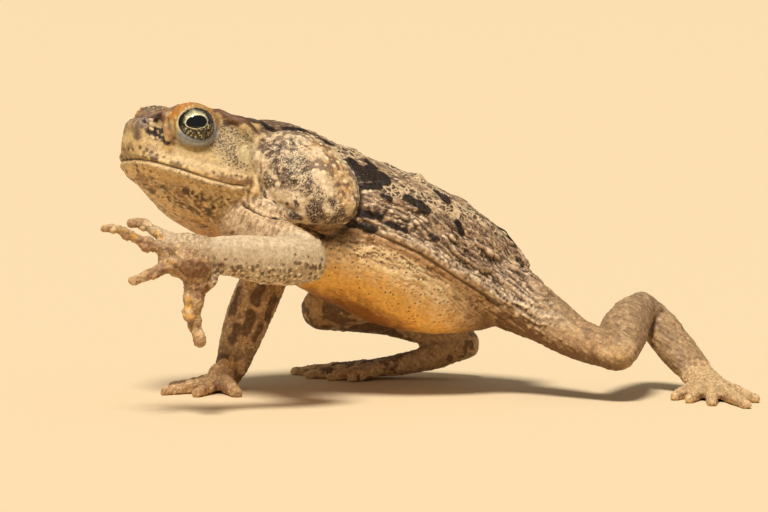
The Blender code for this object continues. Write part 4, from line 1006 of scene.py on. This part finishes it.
    # Limbs.
    fore = w["forearm"]
    low = fore * step(48.0, 41.0, points[:, 2] + 1.5 * blots)
    gap, cell = cells(points, 1.55, 41)
    dots = step(0.46, 0.34, gap + 0.14 * fleck - 0.05 * low) * (cell < 0.03 + 0.85 * low)
    # Painted highlight: the forearm is paler where it faces up.
    coat(PALE, fore * step(0.3, 0.75, normals[:, 2]) * 0.35)
    coat((0.16, 0.085, 0.045), fore * dots * 0.8)
    coat((0.40, 0.24, 0.12), low * step(-0.2, 0.4, fleck + blots) * 0.6 * (1 - dots))
    coat(PALE, low * step(0.2, 0.6, -fleck - 0.5 * blots) * 0.7 * (1 - dots))
    coat(PALE, low * step(0.3, 0.7, share) * (number > 0.3) * 0.7)
    dark = np.maximum(dark, 0.25 * fore + 0.2 * low)
    arm = w["upper_arm"]
    across = limb_place(points)
    stripes = noise(across, (0.55, 2.6, 2.4), 42) + 0.5 * blots
    coat((0.26, 0.13, 0.075), arm * step(0.1, 0.6, stripes) * 0.6)
    coat(PALE, arm * step(0.1, 0.7, -stripes) * 0.4)
    dark = np.maximum(dark, 0.45 * arm)
    hand = w["hand"]
    foot = w["foot"]
    coat((0.27, 0.14, 0.08), hand * step(0.0, 0.5, blots + 0.3 * fleck) * 0.65)
    pale = mark(BACK_OF_HAND, soft=2.2, warp=warp, both=False) * clamp(hand + fore)
    coat(FAMILIES["forearm"][1], pale * 0.8)
    coat(PALE, hand * step(0.1, 0.7, -blots) * 0.3)
    palm = mark(PALM, soft=0.7, warp=small, both=False)
    coat((0.13, 0.042, 0.012), clamp(hand + fore) * palm * (0.78 + 0.15 * fleck))
    grains = step(-0.1, 0.3, fleck) * mark(FINGER_OCHRE, soft=0.5, warp=small, both=False)
    coat((0.62, 0.31, 0.04), hand * grains * 0.8)
    dark = np.maximum(dark, 0.35 * (hand + foot))
    leg = w["thigh"] + w["shank"] + w["tarsus"]
    fibre = noise(across[:, (1, 0, 2)], (0.5, 2.6, 2.0), 43)
    leg = leg * (1 - trunk)
    coat(TAUPE, leg * (0.18 + 0.27 * step(-0.2, 0.6, blots)))
    coat(BROWN, leg * step(0.15, 0.60, fibre) * 0.36)
    coat((0.74, 0.54, 0.30), leg * step(0.2, 0.7, -blots - 0.4 * fibre) * 0.16)
    # Painted shade on the thigh's underside, where it faces down.
    coat((0.14, 0.06, 0.02), w["thigh"] * step(0.0, -0.5, normals[:, 2]) * 0.85)
    bars = step(0.1, 0.4, broad + 0.4 * blots)
    coat(BROWN, clamp(leg + 0.6 * foot) * bars * 0.22)
    dark = np.maximum(dark, 0.28 * leg)
    light = np.maximum(light, 0.06 * leg)
    # Painted shade in the knee's crease.
    coat(UMBER, leg * mark(KNEE, soft=0.5) * 0.4)
    # Painted light: a paler patch on the knee, for light thrown up on it from below.
    coat((0.78, 0.53, 0.28), leg * mark(KNEE_PAINTED_LIGHT, soft=3.0) * 0.8)
    # Painted shade along the thigh's lower edge.
    coat((0.17, 0.07, 0.018), leg * mark(THIGH_UNDER_SHADE, soft=1.6, warp=warp) * 0.75)
    limbs = clamp(fore + arm + leg + hand + foot)
    far = step(6, 14, points[:, 1]) * limbs
    # Painted light: the far limbs are made lighter and warmer than the near ones; their brown mottling below
    # is their own.
    coat((0.72, 0.46, 0.23), far * 0.7)
    coat(BROWN, far * step(0.05, 0.35, broad + 0.7 * blots) * (0.75 - 0.35 * fore))
    coat(BROWN, far * mark(FAR_ARM, soft=0.5, warp=warp, both=False) * 0.8)

    # Tips of warts, and painted shade in the hollows between them.
    rough = clamp(trunk * step(-1, 1, t) * (1 - blotch) * (1 - 0.6 * net) + 0.2 * leg)
    tips = step(0.40, 0.75, share) * rough
    coat(PALE, tips * (number > 0.72) * (0.65 - 0.3 * w["thigh"]))
    coat(TAN, tips * (number > 0.3) * (number <= 0.72) * 0.55)
    coat(BROWN, tips * (number < 0.18) * 0.6)
    # Painted shade round the foot of each wart and between warts.
    coat(UMBER, hump(share - 0.10, 0.09) * rough * 0.4)
    # Painted shade in the groove round the gland.
    coat(UMBER, edge * 0.6)
    # Painted shade in the creases under the gland.
    coat((0.012, 0.006, 0.004), mark(ARMPIT_CREASE_SHADE, soft=0.2) * 0.9)
    out = relief(surface)
    folded = trunk * step(0.5, 2.5, t) * step(0, -6, t - height_of_folds(along)) * (1 - blotch)
    # Painted highlight on the crests of the flank's folds, and painted shade in their hollows.
    coat((0.50, 0.35, 0.24), folded * step(0.25, 0.9, out) * 0.45)
    coat(UMBER, folded * step(-0.15, -0.7, out) * 0.6)
    # Painted highlight and shade: the skin is lightened where it stands out and darkened in hollows; the noise
    # terms are random tone.
    shade = 1 + 0.38 * out * (1 - ring_of_eyes) + 0.10 * fleck + 0.08 * noise(points, 0.5, 51)
    tint = tint * shade[:, None]
    bright = np.clip(tint, 0.003, 0.9).mean(1)
    tint = tint * (np.clip(bright / surface.blur(bright, 14), 0.3, 3) ** 0.3)[:, None]
    return np.clip(tint, 0.003, 0.9), clamp(dark), clamp(light), clamp(net)


def relief(surface):
    """How far each point stands out of its surroundings, from -1 in hollows to 1 on crests."""
    normals = surface.normals()
    even = np.stack([surface.blur(surface.points[:, k], 6) for k in range(3)], 1)
    return np.clip(((surface.points - even) * normals).sum(1) / 0.14, -1, 1)


def add_attribute(mesh, name, kind, values):
    layer = mesh.attributes.new(name, kind, "POINT")
    if kind == "FLOAT_COLOR":
        values = np.concatenate([values, np.ones((len(values), 1))], 1)
        layer.data.foreach_set("color", values.ravel().astype(np.float32))
    else:
        layer.data.foreach_set("value", values.astype(np.float32))


class Paint:
    """A material under way, with short forms of the nodes used here."""

    def __init__(self, name):
        self.material = bpy.data.materials.new(name)
        self.material.use_nodes = True
        self.tree = self.material.node_tree
        self.shader = self.tree.nodes["Principled BSDF"]
        self.place = self.node("TexCoord", "Object", {})

    def fill(self, node, inputs):
        """Sets or links inputs of a node, each given by its name or number."""
        for key, value in inputs.items():
            socket = node.inputs[key]
            if isinstance(value, tuple):
                socket.default_value = (*value, 1)[:len(socket.default_value)]
            elif isinstance(value, (int, float)):
                socket.default_value = value
            else:
                self.tree.links.new(value, socket)

    def node(self, kind, output, inputs, **settings):
        """Adds a node with its settings and inputs, and returns one of its outputs."""
        made = self.tree.nodes.new("ShaderNode" + kind)
        for name, value in settings.items():
            setattr(made, name, value)
        self.fill(made, inputs)
        return made.outputs[output]

    def attribute(self, name, output="Fac"):
        return self.node("Attribute", output, {}, attribute_name=name)

    def noise(self, scale, detail=2.0):
        return self.node("TexNoise", "Fac", {"Scale": scale, "Detail": detail, "Vector": self.place})

    def voronoi(self, scale, feature, output, place=None):
        inputs = {"Scale": scale, "Vector": place or self.place}
        return self.node("TexVoronoi", output, inputs, feature=feature)

    def bend(self, scale, amount):
        """The place, pushed about by noise."""
        push = self.node("TexNoise", "Color", {"Scale": scale, "Vector": self.place})
        inputs = {0: push, 1: (amount, amount, amount), 2: self.place}
        return self.node("VectorMath", "Vector", inputs, operation="MULTIPLY_ADD")

    def remap(self, value, low, high, to_low=0.0, to_high=1.0):
        inputs = {"Value": value, "From Min": low, "From Max": high, "To Min": to_low, "To Max": to_high}
        return self.node("MapRange", "Result", inputs)

    def maths(self, kind, one, two):
        return self.node("Math", 0, {0: one, 1: two}, operation=kind)

    def times(self, one, two):
        return self.maths("MULTIPLY", one, two)

    def blend(self, one, two, share):
        return self.node("Mix", "Result", {"A": one, "B": two, "Factor": share}, data_type="RGBA")


def skin_paint():
    paint = Paint("skin")
    times, remap, blend = paint.times, paint.remap, paint.blend
    tint = paint.attribute("Tint", "Color")
    dark, light, net = (paint.attribute(name) for name in ("Dark", "Light", "Net"))

    # Cream lines of the net, and the dark cells between them.
    place = paint.bend(450, 0.0011)
    line = remap(paint.voronoi(570, "DISTANCE_TO_EDGE", "Distance", place), 0.06, 0.13, 1, 0)
    cell = remap(paint.voronoi(570, "F1", "Color", place), 0.32, 0.36)
    net = times(net, 0.9)
    colour = blend(tint, (0.045, 0.024, 0.013), times(cell, net))
    colour = blend(colour, (0.74, 0.54, 0.31), times(line, net))

    # Specks: the thicker they lie, the lower the noise has to be cut.
    for scale, thick, shade, strength in ((2100, dark, (0.035, 0.021, 0.014), 0.80),
                                          (2300, light, (0.78, 0.62, 0.43), 0.75)):
        rest = paint.maths("SUBTRACT", paint.noise(scale, 3.0), remap(thick, 0, 1, 0.72, 0.50))
        colour = blend(colour, shade, times(remap(rest, -0.02, 0.03), strength))
    colour = blend(colour, (0.09, 0.05, 0.028), remap(paint.noise(900, 4.0), 0.35, 0.65, 0.0, 0.25))

    grains = times(paint.voronoi(1500, "SMOOTH_F1", "Distance"), -0.6)
    height = paint.maths("ADD", grains, paint.noise(3200, 3.0))
    bump = {"Strength": 0.6, "Distance": 0.00024, "Height": height}
    paint.fill(paint.shader, {
        "Base Color": colour, "Roughness": remap(paint.noise(700, 3.0), 0.3, 0.7, 0.40, 0.66),
        "Specular IOR Level": 0.24, "Normal": paint.node("Bump", "Normal", bump)})
    return paint.material


def make_skin():
    """The finished skin, and the names of the nodes that it replaces."""
    skin, tree, owners, names = base_skin()
    surface = Surface(skin.data)
    weights = regions(surface, tree, owners, names)
    shape_skin(surface, weights)
    marks = Marks(surface)
    add_lobe(marks, weights)
    mouth, edge, pits = sculpt(surface, marks, weights)
    wrinkle(surface, weights)
    share, number = add_warts(surface, weights)
    tint, dark, light, net = colour_skin(surface, marks, weights, mouth, edge, pits, share, number)
    surface.points[:, 2] = np.maximum(surface.points[:, 2], -SHIFT.z)
    surface.normals()
    add_attribute(skin.data, "Tint", "FLOAT_COLOR", tint)
    for name, values in (("Dark", dark), ("Light", light), ("Net", net)):
        add_attribute(skin.data, name, "FLOAT", values)
    skin.data.transform(TO_METRES)
    skin.data.shade_smooth()
    skin.data.materials.clear()
    skin.data.materials.append(skin_paint())
    return skin, names


# The eyes.

EYE_RINGS, EYE_SEGMENTS = 150, 240
EYE_SINK, EYE_BULGE = 0.05, 0.18
EYE_TILT = math.radians(15)
PUPIL = (0.78, 0.5)
PUPIL_HALF = (2.95, 1.82)


def make_eye(flip, name, paint):
    """A bulging eye, gold flecked, with a level oval pupil."""
    centre, ahead, up, gaze = eye_axes(flip)
    polar = math.pi * (np.arange(1, EYE_RINGS).repeat(EYE_SEGMENTS) / EYE_RINGS) ** 1.3
    turn = np.tile(2 * math.pi * np.arange(EYE_SEGMENTS) / EYE_SEGMENTS, EYE_RINGS - 1)
    unit = np.stack([np.sin(polar) * np.cos(turn), np.sin(polar) * np.sin(turn), np.cos(polar)], 1)
    radius = EYE_RADIUS - EYE_SINK
    bulge = EYE_BULGE * step(0.55, 0.95, unit[:, 2])
    front, back = [(0, 0, radius + EYE_BULGE)], [(0, 0, -radius)]
    ball = np.concatenate([front, unit * (radius + bulge)[:, None], back])
    faces = []
    last = 1 + (EYE_RINGS - 2) * EYE_SEGMENTS
    for j in range(EYE_SEGMENTS):
        k = (j + 1) % EYE_SEGMENTS
        faces.append((0, 1 + j, 1 + k))
        faces.append((len(ball) - 1, last + k, last + j))
        for i in range(EYE_RINGS - 2):
            low = 1 + i * EYE_SEGMENTS
            faces.append((low + j, low + EYE_SEGMENTS + j, low + EYE_SEGMENTS + k, low + k))
    mesh = bpy.data.meshes.new(name)
    mesh.from_pydata([tuple(p) for p in ball @ np.array([ahead, up, gaze]) + np.array(centre)], [], faces)
    made = bmesh.new()
    made.from_mesh(mesh)
    bmesh.ops.recalc_face_normals(made, faces=made.faces)
    made.to_mesh(mesh)
    made.free()
    mesh.transform(TO_METRES)
    mesh.shade_smooth()
    add_attribute(mesh, "Tint", "FLOAT_COLOR", colour_eye(ball, flip))
    mesh.materials.append(paint)
    return add_object(name, mesh)


def colour_eye(ball, flip):
    """A colour for each point of an eyeball."""
    x, y = ball.T[:2]
    x, y = x * math.cos(EYE_TILT) - y * math.sin(EYE_TILT), x * math.sin(EYE_TILT) + y * math.cos(EYE_TILT)
    px, py = (x - PUPIL[0]) / PUPIL_HALF[0], (y - PUPIL[1]) / PUPIL_HALF[1]
    q = np.sqrt(px**2 + py**2) * (1 + 0.03 * noise(ball, 1.2, 60))
    radius = np.hypot(x, y)
    angle = np.arctan2(py, px)
    rays = noise(np.stack([angle * 6.5, 0.35 * radius, np.full(len(x), 2.5 * flip)], 1), 1.0, 63)
    flecks = fractal(ball, 0.45, 61 + flip)
    tint = np.tile(np.array((0.014, 0.010, 0.006)), (len(ball), 1))
    below = step(0.2, -0.9, y) * step(5.0, 4.2, radius)
    tint = mix(tint, (0.06, 0.036, 0.015), below * 0.4)
    tint = mix(tint, (0.68, 0.59, 0.34), below * step(0.22, 0.42, flecks) * 0.85)
    tint = mix(tint, (0.55, 0.45, 0.24), step(0.55, 0.8, flecks) * step(5.0, 4.2, radius) * 0.35)
    tint = mix(tint, (0.004, 0.004, 0.004), below * step(0.25, 0.5, -flecks) * 0.8)
    above = y - PUPIL[1] - PUPIL_HALF[1] * np.sqrt(clamp(1 - px**2))
    crown = step(1.25, 0.9, abs(px)) * step(-0.1, 0.1, above) * (y > PUPIL[1])
    tint = mix(tint, (0.60, 0.56, 0.32), crown * step(2.0, 0.5, above + 0.8 * rays) * 0.9)
    tint = mix(tint, (0.85, 0.80, 0.48), crown * step(0.75, 0.2, above + 0.35 * rays))
    ring = hump(q - 1.07, 0.042)
    tint = mix(tint, (0.80, 0.70, 0.36), ring * (0.12 + 0.88 * step(0.3, -0.3, py)))
    tint = mix(tint, (0.0025, 0.003, 0.005), step(1.045, 1.005, q))
    tint = mix(tint, (0.008, 0.006, 0.005), step(4.55, 5.0, radius))
    return clamp(tint)


def eye_paint():
    paint = Paint("eye_surface")
    grain = paint.remap(paint.noise(4200), 0.3, 0.7, 0.55, 1.35)
    inputs = {0: paint.attribute("Tint", "Color"), 1: grain}
    paint.fill(paint.shader, {
        "Base Color": paint.node("VectorMath", "Vector", inputs, operation="MULTIPLY"),
        "Roughness": paint.remap(paint.noise(900), 0.3, 0.7, 0.10, 0.16),
        "Specular IOR Level": 0.1, "Coat Weight": 1.0, "Coat Roughness": 0.02})
    return paint.material


# Floor, light and camera.

def make_stage():
    mesh = bpy.data.meshes.new("floor")
    corners = [(x * FLOOR_HALF, y * FLOOR_HALF, 0) for x, y in ((-1, -1), (1, -1), (1, 1), (-1, 1))]
    mesh.from_pydata(corners, [], [(0, 1, 2, 3)])
    add_object("floor", mesh)
    paint = Paint("floor")
    paint.fill(paint.shader, {
        "Base Color": (0.74, 0.585, 0.375), "Roughness": 0.9, "Specular IOR Level": 0.2})
    mesh.materials.append(paint.material)


def make_light():
    world = bpy.data.worlds.new("studio")
    bpy.context.scene.world = world
    world.use_nodes = True
    sky = world.node_tree.nodes["Background"]
    sky.inputs["Color"].default_value = (1.0, 0.94, 0.83, 1)
    sky.inputs["Strength"].default_value = SKY_STRENGTH
    light = bpy.data.lights.new("key", "SUN")
    light.energy = SUN_STRENGTH
    light.angle = SUN_SPREAD
    light.color = (1.0, 0.95, 0.87)
    add_object("key", light).rotation_euler = Vector(SUN).to_track_quat("Z", "Y").to_euler()


def make_camera():
    lens = bpy.data.cameras.new("camera")
    lens.lens = LENS
    lens.sensor_width = SENSOR
    lens.clip_start = 0.05
    lens.clip_end = 50
    thing = add_object("camera", lens)
    thing.location = TO_METRES @ CAMERA
    thing.rotation_euler = sight.to_track_quat("-Z", "Y").to_euler()
    bpy.context.scene.camera = thing


make_camera()
make_stage()
make_light()
bpy.context.scene.view_settings.view_transform = "Standard"
skin, flesh = make_skin()
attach(skin, "root")
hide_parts(*flesh)
wet = eye_paint()
for flip, name in ((1, "eye_left"), (-1, "eye_right")):
    eye = make_eye(flip, name + "_ball", wet)
    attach(eye, "root")
    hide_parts(name)
